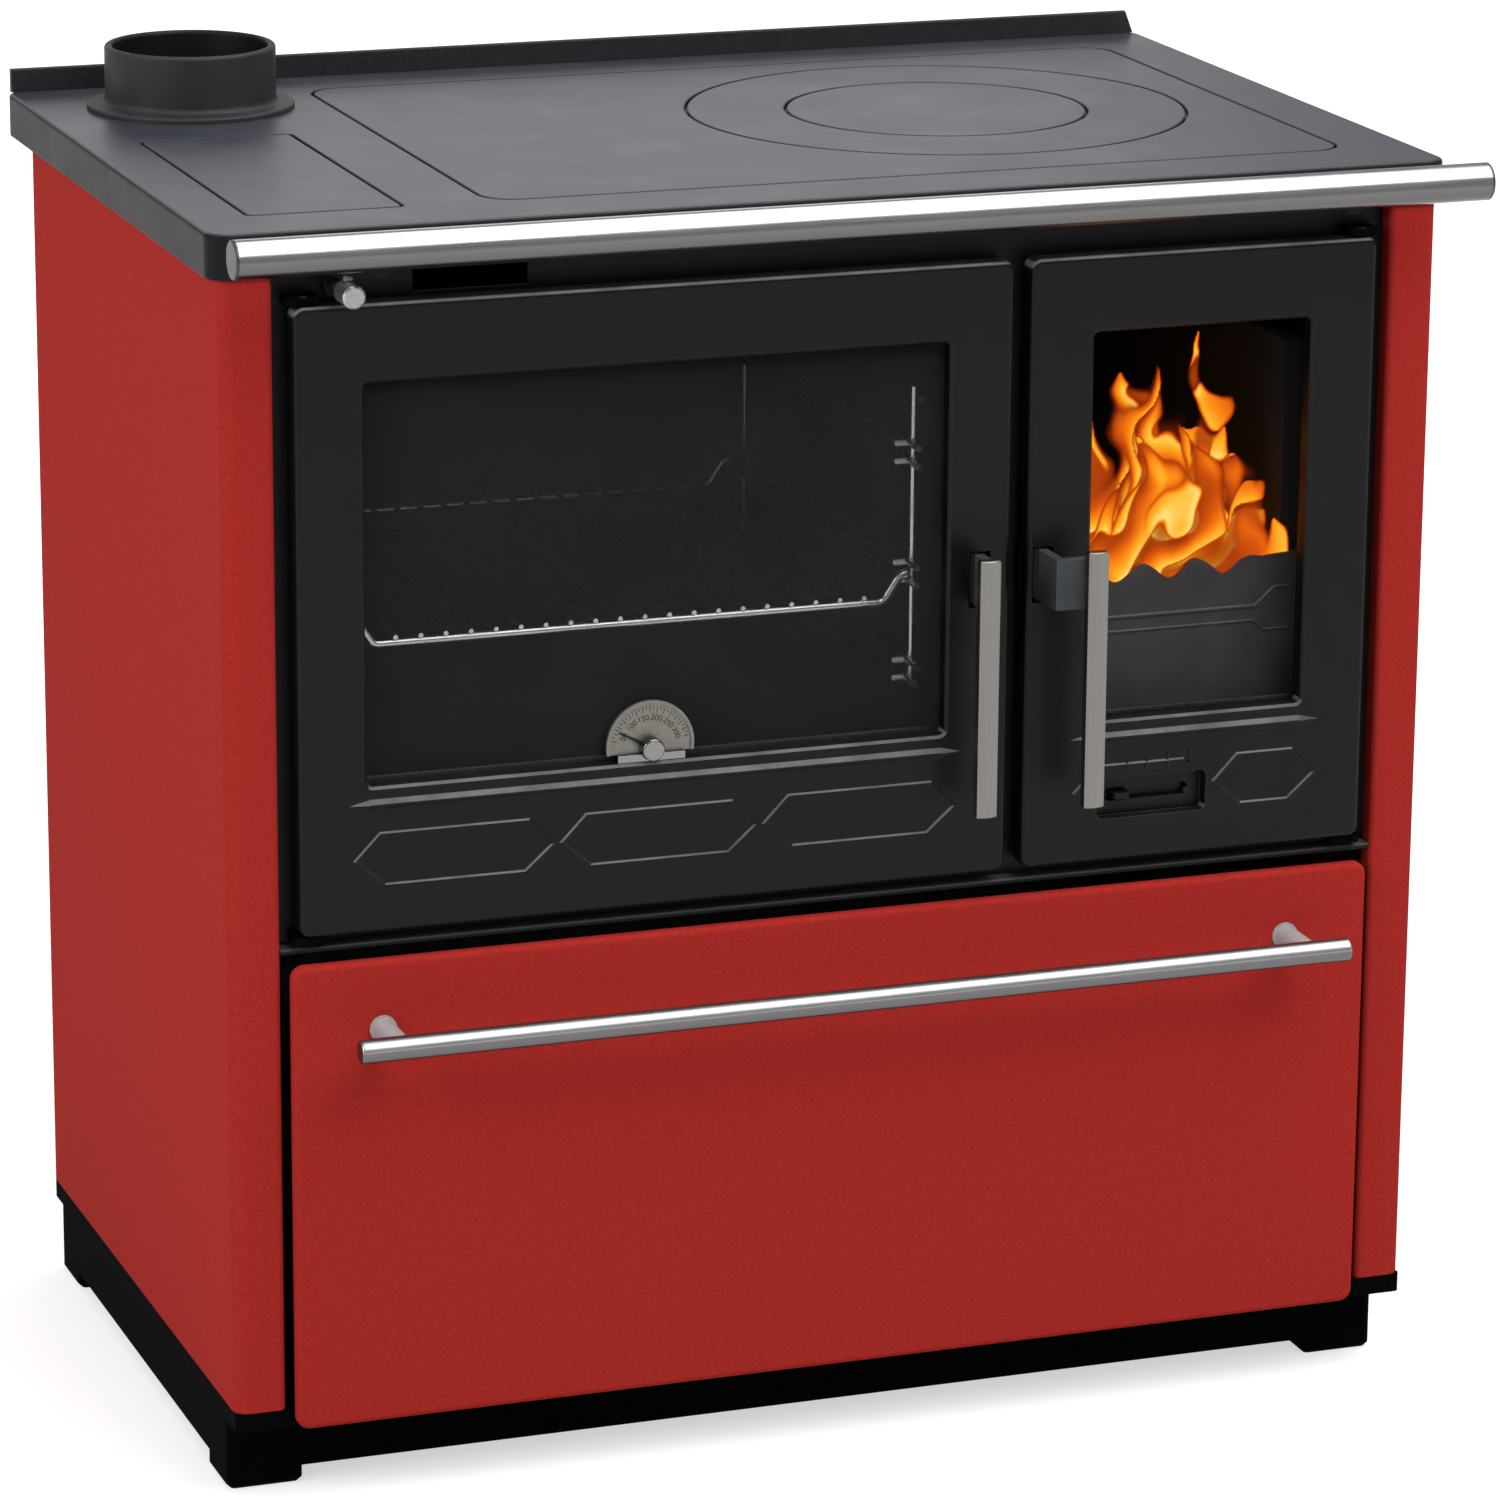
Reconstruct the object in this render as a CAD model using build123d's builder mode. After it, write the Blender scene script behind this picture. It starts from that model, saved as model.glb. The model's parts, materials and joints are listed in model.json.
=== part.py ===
"""Wood-fired kitchen range: oven on the left, firebox on the right, wood drawer below.

Millimetres, +Z up, +X to the right, the front faces -Y.  The origin is on the floor, under the
middle of the range.  Depths are written from the plane of the front strips, front_y.
"""
import os
from build123d import *

# Sheet metal and clearances
sheet = 2.0
flat_gap = 0.3
pin_gap = 0.05
lid_gap = 1.8
lid_bevel = 0.7

# Hob
hob_height = 850.0
hob_overhang = 6.5
hob_edge = 29.0
hob_wall = 8.0
hob_top = 12.0
hob_front = 2.0
hob_rear = 47.0
hob_corner = 15.0
hob_round = 3.0
lid_t = 7.0
seat_ledge = 8.0
upstand_height = 16.0
upstand_t = 5.0
upstand_slope = 6.0

# Hand rail
rail_d = 25.0
rail_wall = 2.0
rail_overhang = 1.0
rail_reach = 56.5
rail_drop = 4.5
rail_cap_t = 2.0
rail_post_inset = 94.0
rail_post_d = 14.0
rail_post_drop = 14.0
rail_post_flange_d = 22.0
rail_post_flange_t = 3.0

# Casing
panel_width = 835.0
panel_depth = 490.0
strip_width = 34.0
strip_return = 14.0
rear_return = 18.0
panel_corner = 9.0
fold_corner = 4.0
vent_count = 13
vent_pitch = 44.0
vent_length = 46.0
vent_width = 8.0
vent_inset = 70.0
swage_side = 107.5
swage_end = 162.0
swage_rib = 16.0
swage_rise = 2.0
screw_d = 9.0
screw_head = 3.0

# Base
tray_top = 67.0
tray_height = 13.0
tray_sheet = 3.0
foot_height = 12.0
foot_size = 52.0
foot_bevel = 3.0
foot_spigot = 20.0
plinth_recess = 36.0
plinth_sheet = 3.0
plinth_corner = 6.0
plinth_gap = 0.4

# Front frame
frame_t = 3.0
frame_inset = 12.5
weld_gap = 0.2
shelf_z = 377.0
shelf_lap = 4.0
shelf_depth = 12.0
shelf_t = 4.0
mouth_head = 32.0
oven_lap_left = 39.0
oven_lap_right = 36.0
oven_lap_bottom = 35.0
fire_lap_left = 40.0
fire_lap_right = 41.0
fire_lap_bottom = 13.0
shelf_round = 1.5
air_port_inset = 167.5
air_port_drop = 10.0
air_port_width = 76.0
air_port_height = 15.0

# Doors
door_rise = 13.0
door_head = 19.0
door_proud = 7.0
door_t = 15.0
door_corner = 7.0
door_round = 3.5
oven_door_inset = 45.5
fire_door_inset = 46.5
fire_door_width = 246.0
door_gap = 12.0
oven_rim_left = 45.0
oven_rim_right = 44.0
fire_rim_left = 45.0
fire_rim_right = 46.0
rim_bottom = 97.0
rim_top = 51.0
window_corner = 4.0
window_bevel = 1.8
glass_t = 4.0
glass_lap = 6.0
glass_gap = 0.3
retainer_width = 12.0
retainer_t = 2.0
seal_width = 5.0
seal_inset = 1.0
seal_round = 1.8
ledge_drop = 11.5
ledge_height = 7.0
ledge_rise = 2.4
ledge_taper = 52.0
ledge_inset = 33.0
ledge_point = 14.0
bead_up = 48.5
bead_height = 37.0
bead_width = 2.6
bead_rise = 1.1
bead_taper = 45.0
bead_point = 18.0
bead_point_width = 3.64
oven_bead_count = 3
oven_bead_margin = 34.0
bead_gap = 2.0

# Hinges
hinge_pin_d = 6.0
hinge_pin_depth = 13.0
hinge_inset = 8.0
hinge_tab_width = 22.0
hinge_tab_t = 5.0
hinge_tab_reach = 19.0

# Latch levers and grips
lever_up = 184.0
lever_height = 34.0
lever_t = 6.0
lever_boss_d = 10.0
lever_nose = 31.0
lever_slot_width = 15.0
lever_slot_gap = 2.0
latch_pin_d = 5.0
latch_pin_grip = 8.0
oven_pivot_inset = 21.5
fire_pivot_inset = 11.5
grip_width = 14.0
grip_t = 8.0
grip_crown = 1.6
grip_stand = 38.0
grip_up = 49.0
grip_length = 174.0
oven_grip_offset = 7.0
fire_grip_offset = 24.0
strike_slot_width = 17.0
strike_slot_offset = 3.0
strike_cheek_t = 3.0
strike_depth = 20.0

# Air slider
pocket_inset = 53.0
pocket_width = 79.0
pocket_up = 29.0
pocket_height = 28.0
pocket_depth = 9.0
slider_slot_inset = 8.0
slider_slot_length = 62.0
slider_slot_height = 9.0
slider_lead = 6.0
slider_length = 74.0
slider_height = 22.0
slider_t = 2.5
slider_tab_inset = 26.0
slider_tab_width = 12.0
slider_tab_t = 4.0
slider_tab_reach = 13.0
guide_length = 112.0
guide_wall = 2.0
guide_lip = 3.0

# Thermometer
dial_offset = 5.0
dial_up = 10.0
dial_d = 60.0
dial_t = 1.2
dial_stand = 3.4
dial_rim = 2.0
dial_rim_rise = 1.2
dial_bracket_length = 46.0
dial_bracket_height = 5.0
dial_bracket_depth = 8.0
hub_d = 15.0
hub_length = 9.0
hub_up = 8.5
needle_length = 24.0
needle_width = 3.0
needle_rest = 62.0
needle_t = 0.8
needle_eye_d = 6.0
needle_shaft_d = 3.0

# Oven inside
oven_back_space = 49.0
runner_foot = 80.0
runner_head = 62.0
runner_wire_d = 4.0
runner_upright_d = 5.0
runner_stand = 7.0
runner_front = 40.0
runner_back_space = 54.0
runner_upright_inset = 20.0
runner_shares = (0.025, 0.355, 0.754)
runner_pair = 12.2
runner_peg_inset = 9.0
runner_weld = 0.5
rack_bar_d = 6.0
rack_wire_d = 3.2
rack_wires = 20
rack_wire_inset = 14.5
rack_front = 55.0
rack_back_space = 20.0
rack_drop = 18.0
rack_bend = 12.0
rack_shoulder = 4.0
rack_bend_r = 7.0
rack_level = 1

# Firebox
fire_wall_gap = 20.0
fire_back_space = 77.0
fire_shell_drop = 21.0
fire_shell_sheet = 3.0
fire_ledge_width = 14.0
fire_ledge_up = 59.0
fire_ledge_t = 4.0
grate_t = 12.0
grate_slots = 9
grate_slot_pitch = 15.0
grate_slot_width = 7.0
grate_end = 73.0
brick_t = 17.0
brick_back_t = 22.0
brick_head = 72.0
brick_front = 44.0
brick_gap = 0.4
guard_t = 7.0
guard_up = 96.5
guard_wave = 5.5
guard_pitch = 40.0
ash_pan_height = 40.0
ash_pan_front = 42.0
ash_pan_space = 66.0
ash_pan_gap = 4.0
ash_pull_width = 60.0
ash_pull_height = 12.0
ash_pull_reach = 13.0

# Flue
collar_inset = 107.0
collar_rear = 97.5
collar_d = 117.0
collar_wall = 5.5
collar_height = 43.5
collar_flange_d = 142.0
collar_flange_t = 3.5
collar_shoulder = 1.5
collar_flare_r = 4.0
collar_lip_r = 2.4
collar_spigot_d = 114.0
damper_offset = 23.0
damper_drop = 9.0
damper_rod_d = 8.0
damper_rod_past = 12.5
damper_knob_d = 15.0
damper_knob_front = 34.0
damper_knob_length = 21.0
damper_bush_d = 16.0
damper_bush_length = 6.0
damper_bush_spigot_d = 12.0
damper_plate_length = 76.0
damper_plate_width = 92.0
damper_plate_t = 3.0
damper_lug_t = 6.0
damper_lug_width = 14.0
divider_side_gap = 13.5
divider_reach = 85.0
divider_lead = 71.5
divider_drop = 24.0
divider_t = 3.0
port_width = 72.0
port_length = 56.0

# Hob plates
plate_gap = 58.0
hotplate_inset = 50.0
hotplate_front = 55.0
hotplate_rear = 59.0
hotplate_corner = 22.0
ring_inset = 206.0
ring_shift = 11.0
ring_d = 346.0
disc_d = 209.0
ring_seat = 7.0
ring_step = 3.5
cover_inset = 41.0
cover_width = 101.0
cover_front = 54.5
cover_rear = 219.0
cover_corner = 4.0

# Wood drawer
drawer_side_gap = 5.5
drawer_head = 2.0
drawer_proud = 8.0
drawer_corner = 9.0
drawer_round = 4.0
drawer_clear = 0.5
box_inset = 28.0
box_rise = 11.0
box_head = 71.0
box_back_space = 60.0
box_rim = 8.0
runner_rail_front = 24.0
runner_rail_space = 20.0
runner_rail_width = 22.0
runner_rail_wall = 18.0
pull_bar_d = 16.0
pull_bar_inset = 32.0
pull_bar_drop = 46.0
pull_bar_stand = 42.0
pull_post_d = 15.0
pull_post_inset = 28.0
pull_post_flange_d = 18.0
pull_post_flange_t = 2.0


def level(z):
    """Horizontal plane at height z."""
    return Plane.XY.offset(z)


def facing(y):
    """Upright plane at depth y, seen from the front: its own x and y are X and Z."""
    return Plane.XZ.offset(-y)


def across(x):
    """Upright plane at x, seen from the right: its own x and y are Y and Z."""
    return Plane.YZ.offset(x)


def middle(low, high):
    return (low + high) / 2


# Places that several pieces share: outer sizes and heights
hob_width = panel_width + 2 * hob_overhang
hob_back = panel_depth + hob_rear
rail_length = hob_width + 2 * rail_overhang
front_y = (rail_reach + rail_d / 2 - hob_back) / 2
casing_left = -panel_width / 2
casing_right = panel_width / 2
hob_under = hob_height - hob_edge
hob_ceiling = hob_height - hob_top
hob_front_y = front_y - hob_front
hob_back_y = front_y + hob_back
rail_y = front_y - rail_reach
rail_z = hob_height - rail_drop
frame_y = front_y + strip_return
inside_y = frame_y + frame_t
back_panel_y = front_y + panel_depth - 2 * sheet
tray_under = tray_top - tray_sheet
frame_bottom = shelf_z - shelf_lap
damper_z = hob_under - damper_drop

# Doors, their windows and the mouths behind them
oven_door_left = casing_left + oven_door_inset
fire_door_right = casing_right - fire_door_inset
fire_door_left = fire_door_right - fire_door_width
oven_door_right = fire_door_left - door_gap
door_bottom = shelf_z + door_rise
door_top = hob_under - door_head
door_mid_z = middle(door_bottom, door_top)
door_front_y = front_y - door_proud
door_back_y = door_front_y + door_t
glass_front_y = door_back_y - glass_t
hinge_y = door_front_y + door_t / 2
oven_window_left = oven_door_left + oven_rim_left
oven_window_right = oven_door_right - oven_rim_right
fire_window_left = fire_door_left + fire_rim_left
fire_window_right = fire_door_right - fire_rim_right
window_bottom = door_bottom + rim_bottom
window_top = door_top - rim_top
window_mid_z = middle(window_bottom, window_top)
window_height = window_top - window_bottom
oven_left = oven_door_left + oven_lap_left
oven_right = oven_door_right - oven_lap_right
oven_floor = door_bottom + oven_lap_bottom
mouth_top = door_top - mouth_head
fire_left = fire_door_left + fire_lap_left
fire_right = fire_door_right - fire_lap_right
fire_sill = door_bottom + fire_lap_bottom
fire_shell_left = fire_left - fire_wall_gap
fire_shell_right = fire_right + fire_wall_gap
oven_pivot_x = oven_door_right - oven_pivot_inset
fire_pivot_x = fire_door_left + fire_pivot_inset
oven_grip_x = oven_pivot_x - oven_grip_offset
fire_grip_x = fire_pivot_x + fire_grip_offset
lever_bottom = door_bottom + lever_up
lever_mid_z = lever_bottom + lever_height / 2
grip_bottom = door_bottom + grip_up
grip_back_y = front_y - grip_stand
pocket_left = fire_door_left + pocket_inset
pocket_right = pocket_left + pocket_width
pocket_bottom = door_bottom + pocket_up
slider_left = pocket_left - slider_lead

# Firebox heights
fire_shell_top = hob_under - fire_shell_drop
fire_ledge_z = fire_sill + fire_ledge_up
grate_z = fire_ledge_z + fire_ledge_t
hearth_z = grate_z + grate_t
fire_shell_depth = panel_depth - fire_back_space - strip_return - frame_t

# Hob plates and flue
cover_left = -hob_width / 2 + cover_inset
cover_right = cover_left + cover_width
cover_back = hob_back - cover_rear
hotplate_left = cover_right + plate_gap
hotplate_right = hob_width / 2 - hotplate_inset
hotplate_back = hob_back - hotplate_rear
ring_x = hotplate_right - ring_inset
ring_y = front_y + middle(hotplate_front, hotplate_back) + ring_shift
collar_x = -hob_width / 2 + collar_inset
collar_y = hob_back_y - collar_rear
damper_x = collar_x - damper_offset

# Drawer
drawer_width = panel_width - 2 * (strip_width + drawer_side_gap)
drawer_bottom = tray_top - tray_height
drawer_top = frame_bottom - drawer_head
drawer_front_y = front_y - drawer_proud

# Base: plinth skirt, feet and tray
plinth_width = panel_width - 2 * (tray_sheet + plinth_gap)
plinth_front_y = front_y + plinth_recess
plinth_back_y = front_y + panel_depth - tray_sheet - plinth_gap
plinth_depth = plinth_back_y - plinth_front_y
plinth_mid_y = middle(plinth_front_y, plinth_back_y)

with BuildPart() as base_plinth:
    with BuildSketch(level(foot_height)):
        with Locations((0, plinth_mid_y)):
            RectangleRounded(plinth_width, plinth_depth, plinth_corner)
            RectangleRounded(
                plinth_width - 2 * plinth_sheet,
                plinth_depth - 2 * plinth_sheet,
                plinth_corner - plinth_sheet,
                mode=Mode.SUBTRACT,
            )
    extrude(amount=tray_under - foot_height)

foot_places = [
    (side * (plinth_width - foot_size) / 2, plinth_mid_y + end * (plinth_depth - foot_size) / 2)
    for side in (-1, 1)
    for end in (-1, 1)
]
spigot_size = foot_size - 2 * (plinth_sheet + flat_gap)
with BuildPart() as plinth_feet:
    with BuildSketch(level(0)):
        with Locations(*foot_places):
            RectangleRounded(foot_size, foot_size, plinth_corner)
    extrude(amount=foot_height)
    chamfer(plinth_feet.edges().group_by(Axis.Z)[0], foot_bevel)
    with BuildSketch(level(foot_height)):
        with Locations(*foot_places):
            RectangleRounded(spigot_size, spigot_size, plinth_corner)
    extrude(amount=foot_spigot)

with BuildPart() as base_tray:
    with BuildSketch(level(tray_top - tray_height)):
        with Locations((0, front_y + panel_depth / 2)):
            RectangleRounded(panel_width, panel_depth, fold_corner)
    extrude(amount=tray_height)
    offset(amount=-tray_sheet, openings=base_tray.faces().sort_by(Axis.Z)[0])

# Casing: folded side panels, back panel and its screws
panel_path = [
    (casing_left + rear_return, front_y + panel_depth),
    (casing_left, front_y + panel_depth),
    (casing_left, front_y),
    (casing_left + strip_width, front_y),
    (casing_left + strip_width, frame_y),
]
with BuildPart() as left_side_panel:
    with BuildSketch(level(tray_top)):
        with BuildLine():
            FilletPolyline(*panel_path, radius=[fold_corner, panel_corner, fold_corner])
            offset(amount=sheet, side=Side.LEFT)
        make_face()
    extrude(amount=hob_under - tray_top)

with BuildPart() as right_side_panel:
    mirror(left_side_panel.part, about=Plane.YZ)

back_width = panel_width - 2 * (sheet + fold_corner)
back_mid_z = middle(tray_top, hob_under)
swage_width = panel_width - 2 * swage_side
swage_height = hob_under - tray_top - 2 * swage_end
with BuildPart() as back_panel:
    with BuildSketch(facing(back_panel_y)):
        with Locations((0, back_mid_z)):
            Rectangle(back_width, hob_under - tray_top)
        with Locations((0, tray_top + vent_inset), (0, hob_under - vent_inset)):
            with GridLocations(vent_pitch, 0, vent_count, 1):
                SlotOverall(vent_length, vent_width, rotation=90, mode=Mode.SUBTRACT)
    extrude(amount=-sheet)
    with BuildSketch(facing(back_panel_y + sheet)):
        with Locations((0, back_mid_z)):
            RectangleRounded(swage_width, swage_height, 2 * swage_rib)
            RectangleRounded(
                swage_width - 2 * swage_rib, swage_height - 2 * swage_rib, swage_rib, mode=Mode.SUBTRACT
            )
    extrude(amount=-swage_rise)

screw_x = panel_width / 2 - rear_return / 2 - sheet
with BuildPart() as back_panel_screws:
    with BuildSketch(facing(front_y + panel_depth)):
        with Locations((0, back_mid_z)):
            with GridLocations(2 * screw_x, (hob_under - tray_top) / 4, 2, 4):
                Circle(screw_d / 2)
    extrude(amount=-screw_head)
    chamfer(back_panel_screws.faces().group_by(Axis.Y)[-1].edges(), screw_head / 3)

# Front frame behind the doors: welded strips round the mouths of the oven and the firebox
strike_places = [
    (oven_pivot_x + strike_slot_offset, lever_mid_z),
    (fire_pivot_x - strike_slot_offset, lever_mid_z),
]
strike_slot_height = lever_height + 2 * lever_slot_gap
oven_mid_x = middle(oven_left, oven_right)
oven_mid_z = middle(oven_floor, mouth_top)
frame_left = casing_left + frame_inset
frame_right = casing_right - frame_inset
stile_bottom = fire_sill + weld_gap
stile_top = mouth_top - weld_gap
frame_strips = [
    (frame_left, frame_right, mouth_top, hob_ceiling),
    (frame_left, frame_right, frame_bottom, fire_sill),
    (frame_left, oven_left, stile_bottom, stile_top),
    (oven_left + weld_gap, oven_right - weld_gap, stile_bottom, oven_floor),
    (oven_right, fire_left, stile_bottom, stile_top),
    (fire_right, frame_right, stile_bottom, stile_top),
]
with BuildPart() as front_frame:
    with BuildSketch(facing(frame_y)):
        for left, right, bottom, top in frame_strips:
            with Locations((middle(left, right), middle(bottom, top))):
                Rectangle(right - left, top - bottom)
        with Locations(*strike_places):
            Rectangle(strike_slot_width, strike_slot_height, mode=Mode.SUBTRACT)
        with Locations((casing_left + air_port_inset, hob_under - air_port_drop)):
            Rectangle(air_port_width, air_port_height, mode=Mode.SUBTRACT)
        with Locations((damper_x, damper_z)):
            Circle(damper_bush_spigot_d / 2 + flat_gap, mode=Mode.SUBTRACT)
    extrude(amount=-frame_t)
    with BuildSketch(across(casing_left + strip_width + flat_gap)):
        with BuildLine():
            FilletPolyline(
                (frame_y, shelf_z),
                (frame_y - shelf_depth, shelf_z),
                (frame_y - shelf_depth, shelf_z + shelf_t),
                (frame_y, shelf_z + shelf_t),
                radius=shelf_round,
            )
            Line((frame_y, shelf_z + shelf_t), (frame_y, shelf_z))
        make_face()
    extrude(amount=panel_width - 2 * (strip_width + flat_gap))

with BuildPart() as latch_strikes:
    with BuildSketch(facing(inside_y)):
        with Locations(*strike_places):
            with GridLocations(0, strike_slot_height + strike_cheek_t, 1, 2):
                Rectangle(strike_slot_width + 2 * strike_cheek_t, strike_cheek_t)
    extrude(amount=-strike_depth)

# Hob frame with seats for the loose plates
hob_depth = hob_front + hob_back
hob_mid = (0, middle(hob_front_y, hob_back_y))
hotplate_width = hotplate_right - hotplate_left
hotplate_depth = hotplate_back - hotplate_front
hotplate_mid = (middle(hotplate_left, hotplate_right), front_y + middle(hotplate_front, hotplate_back))
cover_depth = cover_back - cover_front
cover_mid = (middle(cover_left, cover_right), front_y + middle(cover_front, cover_back))
with BuildPart() as hob_frame:
    with BuildSketch(level(hob_under)):
        with Locations(hob_mid):
            RectangleRounded(hob_width, hob_depth, hob_corner)
    extrude(amount=hob_edge)
    fillet(hob_frame.faces().sort_by(Axis.Z)[-1].edges(), hob_round)
    with BuildSketch(level(hob_under)):
        with Locations(hob_mid):
            RectangleRounded(hob_width - 2 * hob_wall, hob_depth - 2 * hob_wall, hob_corner - hob_wall)
    extrude(amount=hob_edge - hob_top, mode=Mode.SUBTRACT)
    with BuildSketch(level(hob_height)):
        with Locations(hotplate_mid):
            RectangleRounded(
                hotplate_width + 2 * lid_gap, hotplate_depth + 2 * lid_gap, hotplate_corner + lid_gap
            )
        with Locations(cover_mid):
            RectangleRounded(cover_width + 2 * lid_gap, cover_depth + 2 * lid_gap, cover_corner + lid_gap)
    extrude(amount=-lid_t, mode=Mode.SUBTRACT)
    with BuildSketch(level(hob_height)):
        with Locations(hotplate_mid):
            RectangleRounded(
                hotplate_width - 2 * seat_ledge, hotplate_depth - 2 * seat_ledge, hotplate_corner - seat_ledge
            )
        with Locations(cover_mid):
            Rectangle(cover_width - 2 * seat_ledge, cover_depth - 2 * seat_ledge)
        with Locations((collar_x, collar_y)):
            Circle(collar_spigot_d / 2 + flat_gap)
    extrude(amount=-hob_top, mode=Mode.SUBTRACT)
    chamfer(hob_frame.faces().sort_by(Axis.Z)[-1].inner_wires().edges(), lid_bevel)

upstand_half = hob_width / 2 - hob_round
with BuildPart() as rear_upstand:
    with BuildSketch(facing(hob_back_y - hob_round)):
        with BuildLine():
            Polyline(
                (-upstand_half, hob_height),
                (upstand_half, hob_height),
                (upstand_half - upstand_slope, hob_height + upstand_height),
                (-upstand_half, hob_height + upstand_height),
                close=True,
            )
        make_face()
    extrude(amount=upstand_t)
    fillet(rear_upstand.edges().filter_by(Axis.X).group_by(Axis.Z)[-1], upstand_t / 4)

# Loose hob plates: hotplate, ring, disc and cleaning cover
ring_hole_d = ring_d - 2 * ring_seat
disc_hole_d = disc_d - 2 * ring_seat
with BuildPart() as hotplate:
    with BuildSketch(level(hob_height)):
        with Locations(hotplate_mid):
            RectangleRounded(hotplate_width, hotplate_depth, hotplate_corner)
        with Locations((ring_x, ring_y)):
            Circle(ring_hole_d / 2, mode=Mode.SUBTRACT)
    extrude(amount=-lid_t)
    with BuildSketch(level(hob_height)):
        with Locations((ring_x, ring_y)):
            Circle(ring_d / 2)
    extrude(amount=-ring_step, mode=Mode.SUBTRACT)
    chamfer(hotplate.faces().sort_by(Axis.Z)[-1].edges(), lid_bevel)

with BuildPart() as outer_ring:
    with BuildSketch(level(hob_height)):
        with Locations((ring_x, ring_y)):
            Circle(ring_d / 2 - lid_gap)
            Circle(disc_hole_d / 2, mode=Mode.SUBTRACT)
    extrude(amount=-ring_step)
    with BuildSketch(level(hob_height)):
        with Locations((ring_x, ring_y)):
            Circle(ring_hole_d / 2 - lid_gap)
            Circle(disc_hole_d / 2, mode=Mode.SUBTRACT)
    extrude(amount=-lid_t)
    with BuildSketch(level(hob_height)):
        with Locations((ring_x, ring_y)):
            Circle(disc_d / 2)
    extrude(amount=-ring_step, mode=Mode.SUBTRACT)
    chamfer(outer_ring.faces().sort_by(Axis.Z)[-1].edges(), lid_bevel)

with BuildPart() as lid_disc:
    with BuildSketch(level(hob_height)):
        with Locations((ring_x, ring_y)):
            Circle(disc_d / 2 - lid_gap)
    extrude(amount=-ring_step)
    with BuildSketch(level(hob_height)):
        with Locations((ring_x, ring_y)):
            Circle(disc_hole_d / 2 - lid_gap)
    extrude(amount=-lid_t)
    chamfer(lid_disc.faces().sort_by(Axis.Z)[-1].edges(), lid_bevel)

with BuildPart() as cleaning_cover:
    with BuildSketch(level(hob_height)):
        with Locations(cover_mid):
            RectangleRounded(cover_width, cover_depth, cover_corner)
    extrude(amount=-lid_t)
    chamfer(cleaning_cover.faces().sort_by(Axis.Z)[-1].edges(), lid_bevel)

# Flue collar, turned about its upright axis
collar_top = hob_height + collar_height
collar_r = collar_d / 2
bore_r = collar_r - collar_wall
flange_top = hob_height + collar_flange_t
with BuildPart() as flue_collar:
    with BuildSketch(facing(collar_y)):
        with BuildLine():
            FilletPolyline(
                (collar_x + collar_flange_d / 2, hob_height),
                (collar_x + collar_flange_d / 2, flange_top),
                (collar_x + collar_r, flange_top + collar_shoulder),
                (collar_x + collar_r, collar_top),
                (collar_x + bore_r, collar_top),
                (collar_x + bore_r, hob_height - lid_t),
                radius=[collar_shoulder, collar_flare_r, collar_lip_r, collar_lip_r],
            )
            Polyline(
                (collar_x + bore_r, hob_height - lid_t),
                (collar_x + collar_spigot_d / 2, hob_height - lid_t),
                (collar_x + collar_spigot_d / 2, hob_height),
                (collar_x + collar_flange_d / 2, hob_height),
            )
        make_face()
    revolve(axis=Axis((collar_x, collar_y, 0), (0, 0, 1)))

# Hand rail in front of the hob
tube_length = rail_length - 2 * rail_cap_t
rail_post_x = hob_width / 2 - rail_post_inset
rail_post_z = hob_height - rail_post_drop
rail_post_places = [(-rail_post_x, rail_post_z), (rail_post_x, rail_post_z)]
with BuildPart() as hand_rail:
    with BuildSketch(across(-tube_length / 2)):
        with Locations((rail_y, rail_z)):
            Circle(rail_d / 2)
            Circle(rail_d / 2 - rail_wall, mode=Mode.SUBTRACT)
    extrude(amount=tube_length)

with BuildPart() as rail_end_caps:
    for side in (-1, 1):
        with BuildSketch(across(side * tube_length / 2)):
            with Locations((rail_y, rail_z)):
                Circle(rail_d / 2)
        extrude(amount=side * rail_cap_t)
        with BuildSketch(across(side * tube_length / 2)):
            with Locations((rail_y, rail_z)):
                Circle(rail_d / 2 - rail_wall)
        extrude(amount=-side * 3 * rail_cap_t)
    fillet(rail_end_caps.faces().sort_by(Axis.X)[0].edges(), rail_cap_t / 2)
    fillet(rail_end_caps.faces().sort_by(Axis.X)[-1].edges(), rail_cap_t / 2)

with BuildPart() as rail_brackets:
    with BuildSketch(facing(hob_front_y)):
        with Locations(*rail_post_places):
            Circle(rail_post_flange_d / 2)
    extrude(amount=rail_post_flange_t)
    with BuildSketch(facing(hob_front_y)):
        with Locations(*rail_post_places):
            Circle(rail_post_d / 2)
    extrude(amount=hob_front_y - rail_y)
    with BuildSketch(across(-rail_length / 2)):
        with Locations((rail_y, rail_z)):
            Circle(rail_d / 2)
    extrude(amount=rail_length, mode=Mode.SUBTRACT)

# Oven liner, wire runners and rack
oven_depth = panel_depth - oven_back_space - strip_return - frame_t
with BuildPart() as oven_box:
    with BuildSketch(facing(inside_y)):
        with Locations((oven_mid_x, oven_mid_z)):
            Rectangle(oven_right - oven_left + 2 * sheet, mouth_top - oven_floor + 2 * sheet)
    extrude(amount=-oven_depth)
    offset(amount=-sheet, openings=oven_box.faces().sort_by(Axis.Y)[0])

runner_bottom = oven_floor + runner_foot
runner_height = mouth_top - runner_head - runner_bottom
runner_length = oven_depth - runner_back_space
runner_levels = [runner_bottom + share * runner_height for share in runner_shares]
wire_inset = runner_stand + (runner_upright_d + runner_wire_d) / 2 - runner_weld
upright_places = (
    front_y + runner_front + runner_upright_inset,
    front_y + runner_front + runner_length - runner_upright_inset,
)
peg_levels = (runner_bottom + runner_peg_inset, runner_bottom + runner_height - runner_peg_inset)


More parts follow.
